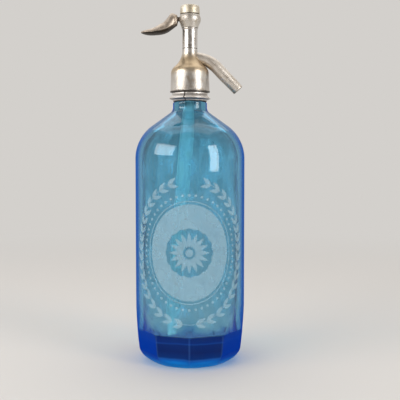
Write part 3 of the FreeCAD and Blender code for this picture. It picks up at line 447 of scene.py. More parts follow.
def bottle_profile():
    """Radius and height all the way round the bottle's wall, from punt to inside floor.

    The cone between shoulder and neck is tangent to both, outside and inside: it ends where
    a fillet begins, at its corner with the neck less the fillet's radius times the tangent
    of half the turn.
    """
    up = math.pi / 2
    heel_centre = BODY_RADIUS - HEEL_RADIUS
    punt = (FOOT_RING_INNER ** 2 + PUNT_DEPTH ** 2) / (2 * PUNT_DEPTH)
    sine, cosine = math.sin(SHOULDER_SLOPE), math.cos(SHOULDER_SLOPE)
    cone_angle = up - SHOULDER_SLOPE
    sweep = math.tan(cone_angle / 2)
    shoulder = (BODY_RADIUS - SHOULDER_RADIUS, SHOULDER_HEIGHT)
    inner_wall = BODY_RADIUS - GLASS_WALL

    def cone(rounding, tube, fillet):
        """The cone's two ends and the height where its fillet meets the tube."""
        start = (shoulder[0] + rounding * sine, SHOULDER_HEIGHT + rounding * cosine)
        corner = start[1] + (start[0] - tube) * sine / cosine
        end = (tube + fillet * sweep * cosine, corner - fillet * sweep * sine)
        return start, end, corner + fillet * sweep

    _, neck_end, neck_start = cone(SHOULDER_RADIUS, NECK_RADIUS, NECK_FILLET)
    bore_end, _, bore_start = cone(SHOULDER_RADIUS - GLASS_WALL, NECK_BORE, NECK_BORE_FILLET)
    groove_top = BOTTLE_TOP - BEAD_LENGTH
    groove_foot = groove_top - GROOVE_LENGTH
    return np.vstack([trace(
        (0, PUNT_DEPTH),
        ((0, PUNT_DEPTH - punt), punt, up, up - math.asin(FOOT_RING_INNER / punt), 3.0),
        ((heel_centre + math.sqrt(HEEL_RADIUS ** 2 - HEEL_HEIGHT ** 2), 0), 1.5),
        ((heel_centre, HEEL_HEIGHT), HEEL_RADIUS, -math.asin(HEEL_HEIGHT / HEEL_RADIUS), 0,
         0.8),
        ((BODY_RADIUS, FLATS_TOP), 1.0),
        ((BODY_RADIUS, SHOULDER_HEIGHT), 4.0),
        (shoulder, SHOULDER_RADIUS, 0, cone_angle, 1.5),
        (neck_end, 1.5),
        ((NECK_RADIUS + NECK_FILLET, neck_start), NECK_FILLET, 3 * up - SHOULDER_SLOPE,
         2 * up, 0.6),
        ((NECK_RADIUS, groove_foot - NECK_EDGE), 1.0),
        ((NECK_RADIUS - NECK_EDGE, groove_foot - NECK_EDGE), NECK_EDGE, 0, up, 0.3),
        ((GROOVE_RADIUS, groove_foot), 1.0),
        ((GROOVE_RADIUS, groove_top), 2.0),
        ((BEAD_RADIUS, groove_top + BEAD_EDGE), 1.0),
        ((BEAD_RADIUS, BOTTLE_TOP - BEAD_EDGE), 2.0),
        ((BEAD_RADIUS - BEAD_EDGE, BOTTLE_TOP - BEAD_EDGE), BEAD_EDGE, 0, up, 0.4),
        ((NECK_BORE, BOTTLE_TOP), 1.0),
        ((NECK_BORE, bore_start), 2.0),
        ((NECK_BORE + NECK_BORE_FILLET, bore_start), NECK_BORE_FILLET, 2 * up,
         3 * up - SHOULDER_SLOPE, 0.8),
        (bore_end, 1.5),
        (shoulder, SHOULDER_RADIUS - GLASS_WALL, cone_angle, 0, 1.5),
        ((inner_wall, WAVES_TOP), 4.0),
        ((inner_wall, FLOOR_HEIGHT + FLOOR_FILLET), 1.2),
        ((inner_wall - FLOOR_FILLET, FLOOR_HEIGHT + FLOOR_FILLET), FLOOR_FILLET, 0, -up, 1.2),
        ((0, FLOOR_HEIGHT), 3.0)), [[0, FLOOR_HEIGHT]]])


def bottle_points():
    """The wall's profile turned round the axis, with flats outside and ripples inside.

    Columns crowd towards the edges of the flats: within a sector from middle to middle
    they are eased by a sine wave.
    """
    columns = np.arange(FLATS * FLAT_COLUMNS)
    share = (columns % FLAT_COLUMNS) / FLAT_COLUMNS
    eased = share + 0.11 * np.sin(2 * math.pi * share)
    angle = (columns // FLAT_COLUMNS + eased) * 2 * math.pi / FLATS
    radius = np.repeat(wall_line[:, 0:1], len(angle), axis=1)
    height = np.repeat(wall_line[:, 1:2], len(angle), axis=1)
    radius[:wall_rim] = glass_radius(angle, height[:wall_rim], radius[:wall_rim])
    radius[wall_rim:] = inner_radius(angle, height[wall_rim:], radius[wall_rim:])
    return round_axis(radius, angle, height)


wall_line = bottle_profile()
wall_rim = int(np.argmax(wall_line[:, 1] >= BOTTLE_TOP - 1e-6))
blue_glass = clear_glass("cobalt_tinted_soda_glass", BLUE_ABSORPTION, "#e2e5ea", "#1650a2",
                         0.92, 0.02, footed=True)
bottle = grid_piece("bottle_glass", bottle_points(), "root", blue_glass)
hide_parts("bottle")


# ---------------- lime film
# Hard soda water has left a thin milky film of lime on the inside of the glass, in clouds
# and runs. It is a few hundredths of a millimetre thick and has no part in the mechanism.
LIME_THICKNESS = 0.04
LIME_GAP = 0.05
LIME_COLUMNS = 180


def lime_finish():
    """Chalky film: clouds of 25 mm and runs 5 mm wide, drawn out five times downwards."""
    material, add, spot = new_material("dried_lime_scale")
    drawn = add("Mapping", {"Vector": spot, "Scale": (1.0, 1.0, 0.2)})
    clouds, runs = [add("TexNoise", {
        "Vector": source, "Scale": scale, "Detail": 3.0, "Roughness": 0.6})
        for source, scale in ((spot, 40.0), (drawn, 200.0))]
    both = add("Math", clouds, runs, operation="MULTIPLY")
    cover = add("MapRange", {"Value": both, "From Min": 0.23, "From Max": 0.42, "To Max": 0.45})
    chalk = add("BsdfPrincipled", {"Base Color": "#d3dcdc", "Roughness": 0.9, "Alpha": cover})
    add("OutputMaterial", {"Surface": chalk})
    return material


def lime_points():
    """The inside of the bottle's wall, from above the waves near the floor to the neck."""
    inner = wall_line[wall_rim + 1:]
    wall = inner[(inner[:, 1] > WAVES_TOP) & (inner[:, 0] > NECK_BORE + 3.0)][::-1]
    angle = full_turn(LIME_COLUMNS)
    height = wall[:, 1:2]
    return round_axis(inner_radius(angle, height, wall[:, 0:1]) - LIME_GAP, angle, height)


def thicken(piece, thickness, offset):
    """Give a film its thickness, to the side that the offset says."""
    skin = piece.modifiers.new("film", "SOLIDIFY")
    skin.thickness = thickness * MM
    skin.offset = offset


lime = grid_piece("lime_film", lime_points(), "root", lime_finish())
thicken(lime, LIME_THICKNESS, -1.0)


# ---------------- etched decoration
# The front is frosted with acid through a stencil: an oval panel round a rosette, a ring
# of beads, and a laurel wreath. Each shape is a film on the glass a few hundredths of a
# millimetre thick, so that light still comes through it.
DESIGN_HEIGHT = 102.0
FILM_THICKNESS = 0.05
FILM_GAP = 0.03
# half widths and half heights of the ovals, and the panel's opening with its scallops
PANEL_OVAL = (35.0, 41.0)
LINE_OVALS = ((37.0, 43.0), (37.8, 43.8))
BEAD_OVAL = (42.0, 48.5)
WREATH_OVAL = (50.5, 61.0)
OPENING_RADIUS = 19.5
SCALLOP = 1.1
PETALS = 16
PETAL_FOOT, PETAL_LENGTH, PETAL_HALF_WIDTH = 4.5, 13.0, 2.0
BUTTON_RADIUS = 3.4
BEADS = 56
BEAD_DOT = 1.2
LEAVES = 18
LEAF_LENGTH, LEAF_HALF_WIDTH, LEAF_LEAN = 9.6, 1.75, 0.55
TWIG_HALF_WIDTH = 0.28
# the frost hides this much on average, and its clouds drift by that much from end to end
FROST_COVER = 0.36
FROST_DRIFT = 0.25


def on_glass(across, up):
    """Points on the bottle's front, from arc length and height about the design's middle."""
    angle = across / BODY_RADIUS - math.pi / 2
    height = up + DESIGN_HEIGHT
    radius = glass_radius(angle, height, np.full_like(height, BODY_RADIUS)) + FILM_GAP
    return round_axis(radius, angle, height)


def frosted_finish():
    """Acid-etched glass: a pale matt film that hides part of what is behind it."""
    material, add, spot = new_material("acid_etched_glass")
    # grains of a third of a millimetre, as coarse as they need to be to show
    grain = add("TexNoise", {"Vector": spot, "Scale": 3000.0, "Detail": 2.0})
    cloud = add("TexNoise", {"Vector": spot, "Scale": 90.0, "Detail": 3.0})
    cover = add("Math", cloud, FROST_DRIFT, FROST_COVER - FROST_DRIFT / 2,
                operation="MULTIPLY_ADD")
    bump = add("Bump", {"Height": grain, "Strength": 0.4, "Distance": 0.05 * MM})
    frost = add("BsdfPrincipled", {
        "Base Color": "#a3c6d6", "Roughness": 0.75, "Alpha": cover, "Normal": bump})
    add("OutputMaterial", {"Surface": frost})
    return material


def film_piece(name, patches):
    """One piece of etching from patches, each a grid of arc lengths and heights."""
    points, quads, first = [], [], 0
    for across, up in patches:
        points.append(on_glass(across, up).reshape(-1, 3))
        quads.append(cells(first + np.arange(across.size).reshape(across.shape)))
        first += across.size
    piece = faces_piece(name, np.vstack(points), np.vstack(quads), "root", frosted)
    thicken(piece, FILM_THICKNESS, 1.0)


def oval(angle, half_width, half_height):
    """Distance from the middle to an oval's edge at an angle."""
    return half_width * half_height / np.hypot(half_height * np.cos(angle),
                                               half_width * np.sin(angle))


def polar(reach, angle):
    """Across and up from the middle, for a distance and an angle."""
    return reach * np.cos(angle), reach * np.sin(angle)


def band(inner, outer, steps):
    """A closed band between two edges, each its distances at the angles of all_round."""
    share = np.linspace(0, 1, steps)[:, None]
    return polar(inner * (1 - share) + outer * share, all_round)


def leaf(root, heading, length, half_width, curl=0.0):
    """A pointed leaf: its half width is a sine bow along a midrib that turns by curl."""
    along = np.linspace(0, 1, 13)[:, None]
    turn = heading + curl * along
    step = length / (len(along) - 1)
    rib_across, rib_up = [start + np.insert(np.cumsum(way(turn[:-1])) * step, 0, 0.0)[:, None]
                          for start, way in zip(root, (np.cos, np.sin))]
    width = half_width * np.sin(math.pi * along ** 0.8) * np.linspace(-1, 1, 5)
    return rib_across - width * np.sin(turn), rib_up + width * np.cos(turn)


def disc(middle, radius):
    """A round dot, but for a pinprick of a fiftieth of its radius in the middle."""
    across, up = polar(np.linspace(0.02, 1, 4)[:, None] * radius,
                       np.linspace(0, 2 * math.pi, 17))
    return middle[0] + across, middle[1] + up


def wreath():
    """Two laurel branches that rise from the foot of the oval to its top."""
    foot, patches = -math.pi / 2, []
    for side in (-1, 1):
        for share in np.linspace(0.03, 0.9, LEAVES):
            turn = foot + side * share * math.pi
            patches += [leaf(polar(oval(turn, *WREATH_OVAL), turn),
                             turn + side * math.pi / 2 + lean, LEAF_LENGTH, LEAF_HALF_WIDTH,
                             -0.5 * lean) for lean in (-LEAF_LEAN, LEAF_LEAN)]
        angle = np.linspace(foot, foot + side * 0.93 * math.pi, 91)
        twig = np.array([[-TWIG_HALF_WIDTH], [TWIG_HALF_WIDTH]])
        patches.append(polar(oval(angle, *WREATH_OVAL) + twig, angle))
    return patches


frosted = frosted_finish()
all_round = np.linspace(0, 2 * math.pi, 361)
film_piece("etched_panel", [
    band(OPENING_RADIUS + SCALLOP * np.abs(np.cos(PETALS * all_round / 2)),
         oval(all_round, *PANEL_OVAL), 18),
    band(*[oval(all_round, *size) for size in LINE_OVALS], 3)])
film_piece("etched_rosette", [
    leaf(polar(PETAL_FOOT, turn), turn, PETAL_LENGTH, PETAL_HALF_WIDTH)
    for turn in full_turn(PETALS)] + [disc((0.0, 0.0), BUTTON_RADIUS)])
film_piece("etched_beads", [disc(polar(oval(turn, *BEAD_OVAL), turn), BEAD_DOT)
                            for turn in full_turn(BEADS)])
film_piece("etched_wreath", wreath())


# ---------------- dip tube
# Drawn clear glass, barely green, cut square at its foot. A glassblower necked it down and
# bent it at its top, where the ferrule holds it, so it hangs a little askew.
TUBE_RADIUS = 6.3
TUBE_BORE = 3.7
TUBE_TOP_RADIUS = 3.6
TUBE_TOP_BORE = 1.9
TUBE_TOP_LENGTH = 17.0
TUBE_TAPER_LENGTH = 31.0
TUBE_LEAN = math.radians(4.6)
TUBE_BEND = 9.0
# the share of it that is clear; the rest is milky with scale
TUBE_CLEARNESS = 0.64


def height_span(node):
    """A CAD node's foot and top, in millimetres."""
    return [corner.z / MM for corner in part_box(node)]


def lathe_points(profile, columns=128):
    """A closed profile of radius and height turned round the upright axis."""
    return round_axis(profile[:, 0:1], full_turn(columns), profile[:, 1:2])


def rounded(corners, spacing):
    """A closed profile from corners of (radius, height, rounding).

    Each corner gives way to an arc that is tangent to both its sides; the arc's points lie
    between its two ends on the circle of that rounding.
    """
    corners = np.array(corners, float)
    places, roundings = corners[:, :2], corners[:, 2]
    result = []
    for number, place in enumerate(places):
        before = places[number - 1] - place
        after = places[(number + 1) % len(places)] - place
        before_length, after_length = np.linalg.norm(before), np.linalg.norm(after)
        before, after = before / before_length, after / after_length
        half = math.acos(np.clip(before @ after, -1, 1)) / 2
        reach = roundings[number] / max(math.tan(half), 1e-6)
        reach = min(reach, 0.49 * before_length, 0.49 * after_length)
        radius = reach * math.tan(half)
        if radius < 1e-6 or half > math.radians(89.5):
            result.append(place)
            continue
        inward = (before + after) / np.linalg.norm(before + after)
        centre = place + inward * radius / math.sin(half)
        first, last = place + before * reach - centre, place + after * reach - centre
        swing = math.atan2(first[0] * last[1] - first[1] * last[0], first @ last)
        turn = np.linspace(0, swing, 6)[:, None]
        result.extend(centre + np.cos(turn) * first
                      + np.sin(turn) * np.array([-first[1], first[0]]))
    return np.vstack([straight(start, end, spacing)
                      for start, end in zip(result, result[1:] + result[:1])
                      if np.linalg.norm(end - start) > 1e-6])


def leaning(points):
    """The tube's points moved towards the lever, more the lower they are.

    The shift is the depth below the bend times the lean's tangent, eased in round the bend
    as half the sum of the depth and its hypotenuse with the bend's softness.
    """
    depth = taper_top - points[..., 2]
    shift = math.tan(TUBE_LEAN) * (depth + np.hypot(depth, TUBE_BEND)) / 2
    return points - shift[..., None] * [1.0, 0.0, 0.0]


tube_foot, tube_top = height_span("dip_tube")
taper_top = tube_top - TUBE_TOP_LENGTH
taper_foot = taper_top - TUBE_TAPER_LENGTH
tube_profile = rounded([
    (TUBE_BORE, tube_foot, 0.5), (TUBE_RADIUS, tube_foot, 0.8),
    (TUBE_RADIUS, taper_foot, 60.0), (TUBE_TOP_RADIUS, taper_top, 60.0),
    (TUBE_TOP_RADIUS, tube_top, 0.4), (TUBE_TOP_BORE, tube_top, 0.3),
    (TUBE_TOP_BORE, taper_top, 60.0), (TUBE_BORE, taper_foot, 60.0)], 3.0)
pale_glass = clear_glass("scaled_clear_glass", (20.0, 3.0, 5.0), "#e8f2f0", "#d5ebe6", 0.6,
                         0.05, TUBE_CLEARNESS)
dip_tube = grid_piece("dip_tube_glass", leaning(lathe_points(tube_profile, 64)), "root",
                      pale_glass, round_along=True)
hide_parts("dip_tube")


# ---------------- rubber, brass and steel inside
# Moulded rubber gasket, sleeve and valve disc; turned brass ferrule, seat, rod and small
# valve pieces; leather packing and fibre washer; steel spring and pin.
def plain_finish(name, light, dark, roughness, grain, metallic=0.0):
    """A finish whose colour and gloss drift between two tones over grains of a real size.

    grain is the size of the mottling in millimetres.
    """
    material, add, spot = new_material(name)
    mottle = add("TexNoise", {
        "Vector": spot, "Scale": 1.0 / (grain * MM), "Detail": 4.0, "Roughness": 0.6})
    tone = add("Mix", {"Factor": mottle, "A": dark, "B": light}, data_type="RGBA")
    gloss = add("MapRange", {
        "Value": mottle, "To Min": roughness - 0.08, "To Max": roughness + 0.1})
    relief = add("Bump", {"Height": mottle, "Strength": 0.1, "Distance": grain * 0.05 * MM})
    surface = add("BsdfPrincipled", {
        "Base Color": tone, "Roughness": gloss, "Metallic": metallic, "Normal": relief})
    add("OutputMaterial", {"Surface": surface})
    return material


FINISHES = {
    "rubber": plain_finish("moulded_black_rubber", "#2b2826", "#171514", 0.7, 0.8),
    "brass": plain_finish("turned_brass", "#b99757", "#8f7142", 0.35, 1.5, 1.0),
    "leather": plain_finish("greased_leather", "#5f4330", "#3c281b", 0.6, 0.6),
    "fibre": plain_finish("vulcanised_fibre", "#4a332a", "#2e201a", 0.65, 0.5),
    "steel": plain_finish("drawn_spring_steel", "#9a9896", "#6f6c69", 0.35, 1.0, 1.0),
}
for entry in frame["record"]["subparts"]:
    if entry["material_slot"] in FINISHES:
        mesh = frame["nodes"][entry["node"]].data
        mesh.materials.clear()
        mesh.materials.append(FINISHES[entry["material_slot"]])


# ---------------- pewter castings
# White metal cast in iron moulds, turned, nickelled and worn by a century of hands: bright
# where it is rubbed, duller and yellower in the hollows, with fine pits and dents.
# the dark of dirt and pits, also painted as shade under the metal and in its seams
DIRT_PIT_AND_SHADE_COLOR = "#2b2520"
SEAM_DIRT_AND_SHADE_COVER = 0.85


def worn_pewter(name, bright, dull, stain, gloss, painted_shade, stained_band=(0.0, 1.0), seams=(),
                pitting=0.5):
    """Worn nickelled white metal.

    Patches of 12 mm drift from bright to dull, blots of 4 mm stain them yellow, most of all
    in a band given as its height and half width, and pits of a millimetre go through to dark
    metal, by the share in pitting. Painted shade darkens what faces down, by the share in
    painted_shade, and the seams, given as heights and half widths, are darkened by soiling
    and painted shade. Heights and widths are in millimetres.
    """
    material, add, spot = new_material(name)
    patches, blots, pits, dents = [add("TexNoise", {
        "Vector": spot, "Scale": scale, "Detail": detail, "Roughness": roughness})
        for scale, detail, roughness in ((85.0, 4.0, 0.55), (250.0, 5.0, 0.62),
                                         (900.0, 2.0, 0.5), (130.0, 1.0, 0.5))]
    wear = add("MapRange", {"Value": patches, "From Min": 0.36, "From Max": 0.64})
    base = add("Mix", {"Factor": wear, "A": dull, "B": bright}, data_type="RGBA")
    # heights wander by the blots, so that no stain ends in a ruled line
    height = add("SeparateXYZ", spot).outputs["Z"]
    ragged = add("Math", blots, 1.2 * MM, -0.6 * MM, operation="MULTIPLY_ADD")
    level = add("Math", height, ragged, operation="ADD")
    middle, reach = stained_band
    off_band = add("Math", level, middle * MM, operation="SUBTRACT")
    from_band = add("Math", off_band, operation="ABSOLUTE")
    banded = add("MapRange", {
        "Value": from_band, "From Min": reach * MM, "From Max": 0.3 * reach * MM,
        "To Max": 0.8}, **SMOOTH)
    blotted = add("MapRange", {
        "Value": blots, "From Min": 0.52, "From Max": 0.74, "To Max": 0.55})
    stained = add("Math", banded, blotted, operation="MAXIMUM")
    color = add("Mix", {"Factor": stained, "A": base, "B": stain}, data_type="RGBA")
    normal = add("NewGeometry").outputs["Normal"]
    rise = add("SeparateXYZ", normal).outputs["Z"]
    # painted shade: the metal is darkened where it faces down
    dirt_pits_and_shade = add("MapRange", {
        "Value": rise, "From Min": -0.3, "From Max": -0.75, "To Max": painted_shade})
    # dirt and painted shade in the seams
    for seam, half_width in seams:
        near = add("Math", level, seam * MM, half_width * MM, operation="COMPARE")
        seam_dirt_and_shade = add("Math", near, SEAM_DIRT_AND_SHADE_COVER, operation="MULTIPLY")
        dirt_pits_and_shade = add("Math", dirt_pits_and_shade, seam_dirt_and_shade, operation="MAXIMUM")
    pitted = add("MapRange", {
        "Value": pits, "From Min": 0.66, "From Max": 0.72, "To Max": pitting})
    dirt_pits_and_shade = add("Math", dirt_pits_and_shade, pitted, operation="MAXIMUM")
    darkened = add("Mix", {"Factor": dirt_pits_and_shade, "A": color, "B": DIRT_PIT_AND_SHADE_COLOR}, data_type="RGBA")
    rough = add("MapRange", {
        "Value": blots, "From Min": 0.3, "From Max": 0.7, "To Min": gloss + 0.10,
        "To Max": gloss - 0.05})
    relief = add("Bump", {"Height": pits, "Strength": 0.2, "Distance": 0.01 * MM})
    relief = add("Bump", {
        "Height": dents, "Strength": 0.5, "Distance": 0.1 * MM, "Normal": relief})
    metal = add("BsdfPrincipled", {
        "Base Color": darkened, "Roughness": rough, "Metallic": 1.0, "Normal": relief})
    add("OutputMaterial", {"Surface": metal})
    return material


def turned_piece(name, node, profile, material, columns=128):
    """A lathe-turned metal piece that stands for a CAD node."""
    piece = grid_piece(name, lathe_points(profile, columns), "root", material,
                       round_along=True)
    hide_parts(node)
    return piece


ring_foot, ring_top = height_span("neck_ring_left")
bell_foot, bell_top = height_span("head_body")
stem_foot = height_span("upper_stem")[0]
bulb_foot, bulb_top = height_span("lever_housing")
# seams where dirt and painted shade darken the metal, as heights and half widths
SEAMS = [(bell_foot, 0.9), (ring_foot, 0.9), (stem_foot, 0.25), (bulb_foot, 0.12),
         (height_span("cap_washer")[0] - 0.8, 0.12)]
FLARE_STAIN = (bell_foot + 25.0, 12.0)
pewter = worn_pewter("worn_nickelled_pewter", "#dedad4", "#bcb4ab", "#c8ae86", 0.37, 0.35,
                     FLARE_STAIN, SEAMS)
ring_pewter = worn_pewter("sawn_collar_pewter", "#f0ebe6", "#dad3cc", "#b9a98b", 0.45, 0.4,
                          seams=SEAMS[:2])
stem_pewter = worn_pewter("rubbed_stem_nickel", "#dad5d0", "#bbb3ab", "#b09a78", 0.28, 0.35,
                          seams=SEAMS[2:4], pitting=0.15)
housing_pewter = worn_pewter("cast_housing_pewter", "#e0dbd3", "#c4bbb0", "#b8a585", 0.39, 0.35,
                             seams=SEAMS[3:])
cap_pewter = worn_pewter("rubbed_cap_nickel", "#e2dcd0", "#d0c4ae", "#c0a97e", 0.47, 0.2,
                         seams=SEAMS[4:], pitting=0.2)
dull_pewter = worn_pewter("handled_pewter", "#cdbfb0", "#a4978a", "#907a5a", 0.42, 0.95)
# the arm is painted dark, as shade inside the housing's slot
shaded_arm_finish = worn_pewter("lever_arm_painted_shade", "#7d7063", "#5a5047", "#4a3e30", 0.5, 0.9)
spout_pewter = worn_pewter("drawn_pewter", "#e1d9cf", "#ccc2b6", "#b8a68d", 0.45, 0.45,
                           pitting=0.12)


# ---------------- neck ring
# A threaded pewter collar cast whole and sawn in two, so that it closes round the glass
# bead. Its thread is hidden in the bell; its flange shows.
RING_FLANGE = 18.3
RING_THREAD = 15.7
RING_BORE = 12.6
RING_POCKET = 14.2
RING_FOOT_RADIUS = 14.8
RING_COVE_RADIUS = 15.3
SPLIT_TURN = math.radians(16.0)
SPLIT_WIDTH = 0.95
# how far the dark fill of painted shade sits below the metal outside
JOINT_FILL_DEPTH = 0.45
ring_profile = rounded([
    (RING_BORE, ring_foot, 0.2), (RING_FOOT_RADIUS, ring_foot, 0.5),
    (RING_COVE_RADIUS, ring_foot + 1.5, 0.8), (RING_FLANGE, ring_foot + 2.7, 0.25),
    (RING_FLANGE, ring_foot + 3.3, 0.25), (RING_THREAD, ring_foot + 6.6, 0.8),
    (RING_THREAD, ring_top, 0.3), (RING_POCKET, ring_top, 0.2),
    (RING_POCKET, ring_foot + 10.6, 0.3), (RING_BORE, ring_foot + 9.2, 0.3)], 0.7)


def swept(name, profile, angle, material):
    """The profile swept round the axis over angles of its own at each point, and closed."""
    return grid_piece(name, round_axis(profile[:, 0:1], angle, profile[:, 1:2]), "root",
                      material, round_across=False, round_along=True, ends=True)


def ring_half(name, node, side):
    """Half of the collar: the profile swept over half a turn, from saw cut to saw cut.

    The cut wanders by up to three tenths of a millimetre, as a hand saw leaves it.
    """
    front = -math.pi / 2 - SPLIT_TURN
    radius, height = ring_profile[:, 0:1], ring_profile[:, 1:2]
    wander = side * (0.22 * np.sin(1.1 * height) + 0.1 * np.sin(2.9 * height + 1.0))
    start = front + side * (SPLIT_WIDTH / 2 - wander) / radius
    end = front + side * (math.pi - (SPLIT_WIDTH / 2 + wander) / radius)
    half = swept(name, ring_profile, start + (end - start) * np.linspace(0, 1, 72),
                 ring_pewter)
    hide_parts(node)


ring_half("neck_ring_left_casting", "neck_ring_left", -1)
ring_half("neck_ring_right_casting", "neck_ring_right", 1)

# a dark fill lies in both saw cuts, a little below the metal outside: painted shade in the gaps
outer_face = ring_profile[:, 0:1] > 15.0
shade_fill_profile = ring_profile - outer_face * [[JOINT_FILL_DEPTH, 0.0]]
for cut_name, side in (("front", -1), ("back", 1)):
    spread = np.linspace(-1, 1, 5) * SPLIT_WIDTH / shade_fill_profile[:, 0:1]
    swept("ring_joint_shade_" + cut_name, shade_fill_profile, side * math.pi / 2 - SPLIT_TURN + spread,
          FINISHES["rubber"])


# ---------------- the bell
# Cast head body: an upright skirt with a rolled lip, a round shoulder and a flare that
# runs up into the stem. It screws down over the neck ring.
LIP_RADIUS = 17.85
SKIRT_RADIUS = 17.4
SKIRT_TOP_RADIUS = 17.0
SKIRT_HEIGHT = 16.3
BELL_ROUNDING = 8.3
FLARE_HEIGHT = 21.5
STEM_RADIUS = 6.75
STEM_EDGE = 0.3
BELL_THREAD = 15.8
BELL_CEILING = 13.6
BELL_PASSAGE = 4.2


def bell_profile():
    """The bell's section: the concave flare is tangent to the shoulder and to the stem.

    The flare's radius follows from both centres being the sum of the radii apart. The lip's
    rounded loop gives up the four points that would close it.
    """
    up = math.pi / 2
    skirt_top = bell_foot + SKIRT_HEIGHT
    inset = STEM_RADIUS - SKIRT_TOP_RADIUS + BELL_ROUNDING
    flare = ((inset ** 2 + FLARE_HEIGHT ** 2 - BELL_ROUNDING ** 2)
             / (2 * (BELL_ROUNDING - inset)))
    bell_centre = (SKIRT_TOP_RADIUS - BELL_ROUNDING, skirt_top)
    flare_centre = (STEM_RADIUS + flare, skirt_top + FLARE_HEIGHT)
    turn = math.atan2(flare_centre[1] - bell_centre[1], flare_centre[0] - bell_centre[0])
    lip = rounded([
        (BELL_THREAD, bell_foot + 6.0, 0), (BELL_THREAD, bell_foot, 0.3),
        (LIP_RADIUS, bell_foot, 0.45), (LIP_RADIUS, bell_foot + 1.1, 0.5),
        (SKIRT_RADIUS, bell_foot + 1.9, 0.8), (SKIRT_RADIUS, bell_foot + 4.0, 0)], 0.8)[:-4]
    return np.vstack([lip, trace(
        (SKIRT_RADIUS, bell_foot + 4.0),
        ((SKIRT_TOP_RADIUS, skirt_top), 1.0),
        (bell_centre, BELL_ROUNDING, 0, turn, 0.5),
        (flare_centre, flare, turn + 2 * up, 2 * up, 0.7),
        ((STEM_RADIUS, bell_top - STEM_EDGE), 0.5),
        ((STEM_RADIUS - STEM_EDGE, bell_top - STEM_EDGE), STEM_EDGE, 0, up, 0.1),
        ((BELL_PASSAGE, bell_top), 0.5),
        ((BELL_PASSAGE, skirt_top + 6.0), 2.0),
        ((BELL_CEILING, skirt_top), 1.5),
        ((BELL_THREAD, skirt_top - 3.0), 1.0),
        ((BELL_THREAD, bell_foot + 6.0), 2.0))])


turned_piece("bell_casting", "head_body", bell_profile(), pewter, 144)


# ---------------- the spout
# A drawn pewter tube, bent hot and soft-soldered to the flare of the bell. The bend swelled
# it: it is thickest in the middle, sags a little there and narrows again to its mouth.
SPOUT_RADIUS = 4.6
SPOUT_SWELL = 0.85
SPOUT_NARROWING = 0.35
SPOUT_SAG = 0.45
SPOUT_BORE = 3.2
SPOUT_RIM = 0.5
SPOUT_START = (5.0, bell_foot + SKIRT_HEIGHT + 15.0)
SPOUT_FIRST = math.radians(-12.0)
SPOUT_SECOND = math.radians(-47.0)
SPOUT_BEND = 28.0
SPOUT_FIRST_RUN = 14.0
SPOUT_SECOND_RUN = 35.7


def heading_vector(heading):
    """The unit vector of a heading in the XZ plane."""
    return np.array([math.cos(heading), math.sin(heading)])


def spout_line():
    """Points and headings along the spout: a run, a bend tangent to both, and a run."""
    tangent = SPOUT_BEND * math.tan((SPOUT_FIRST - SPOUT_SECOND) / 2)
    first, second = heading_vector(SPOUT_FIRST), heading_vector(SPOUT_SECOND)
    corner = np.array(SPOUT_START) + SPOUT_FIRST_RUN * first
    bend_start, bend_end = corner - tangent * first, corner + tangent * second
    centre = bend_start + SPOUT_BEND * np.array([first[1], -first[0]])
    headings = np.linspace(SPOUT_FIRST, SPOUT_SECOND, 24)
    bend = centre + SPOUT_BEND * np.column_stack([-np.sin(headings), np.cos(headings)])
    end = corner + SPOUT_SECOND_RUN * second
    first_run = straight(SPOUT_START, bend_start, 1.0)
    second_run = np.vstack([straight(bend_end, end, 1.0)[1:], end])
    return (np.vstack([first_run, bend, second_run]),
            np.concatenate([np.full(len(first_run), SPOUT_FIRST), headings,
                            np.full(len(second_run), SPOUT_SECOND)]))


def tube_points(line, headings, reach):
    """Rings round a line in the XZ plane: ring i has radius reach[i] across its heading."""
    angle = full_turn(64)
    lift = reach[:, None] * np.sin(angle)
    return grid_of(line[:, 0:1] - lift * np.sin(headings)[:, None],
                   reach[:, None] * np.cos(angle),
                   line[:, 1:2] + lift * np.cos(headings)[:, None])


def ease(share):
    """A smooth step from nought to one: three squares less two cubes of the share."""
    share = np.clip(share, 0, 1)
    return share ** 2 * (3 - 2 * share)


def spout_points():
    """The tube's outside down to its mouth, a rounded rim, and the bore back up.

    It swells over the first two fifths of its length and narrows over the last two.
    """
    line, headings = spout_line()
    share = np.linspace(0, 1, len(line))
    swell, settled = ease(share / 0.4), ease((share - 0.6) / 0.4)
    outside = SPOUT_RADIUS + SPOUT_SWELL * swell - SPOUT_NARROWING * settled
    sag = SPOUT_SAG * swell * (1 - settled)
    line = line + sag[:, None] * np.column_stack([np.sin(headings), -np.cos(headings)])
    rim = np.linspace(0, math.pi, 7)[1:-1]
    wall = (outside[-1] - SPOUT_BORE) / 2
    rim_line = line[-1] + SPOUT_RIM * np.sin(rim)[:, None] * heading_vector(SPOUT_SECOND)
    return np.vstack([
        tube_points(line, headings, outside),
        tube_points(rim_line, np.full(len(rim), SPOUT_SECOND),
                    SPOUT_BORE + wall + wall * np.cos(rim)),
        tube_points(line[::-1], headings[::-1], np.full(len(line), SPOUT_BORE))])


spout = grid_piece("spout_tube", spout_points(), "root", spout_pewter,
                   round_along=True)
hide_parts("spout")


# ---------------- upper stem
# Turned sleeve between the bell and the lever's housing, with a bead at its top. Its foot
# screws over the gland's nipple, and a spigot at its top carries the housing.
STEM_BORE = 4.0
BULB_FOOT_RADIUS = 7.1
turned_piece("upper_stem_sleeve", "upper_stem", rounded([
    (STEM_BORE, stem_foot, 0), (STEM_RADIUS, stem_foot, 0.3),
    (STEM_RADIUS, bulb_foot - 7.0, 20.0), (BULB_FOOT_RADIUS - 0.3, bulb_foot - 1.3, 1.0),
    (BULB_FOOT_RADIUS, bulb_foot - 0.7, 0.5), (BULB_FOOT_RADIUS, bulb_foot, 0.3),
    (STEM_BORE, bulb_foot, 0)], 0.8), stem_pewter)


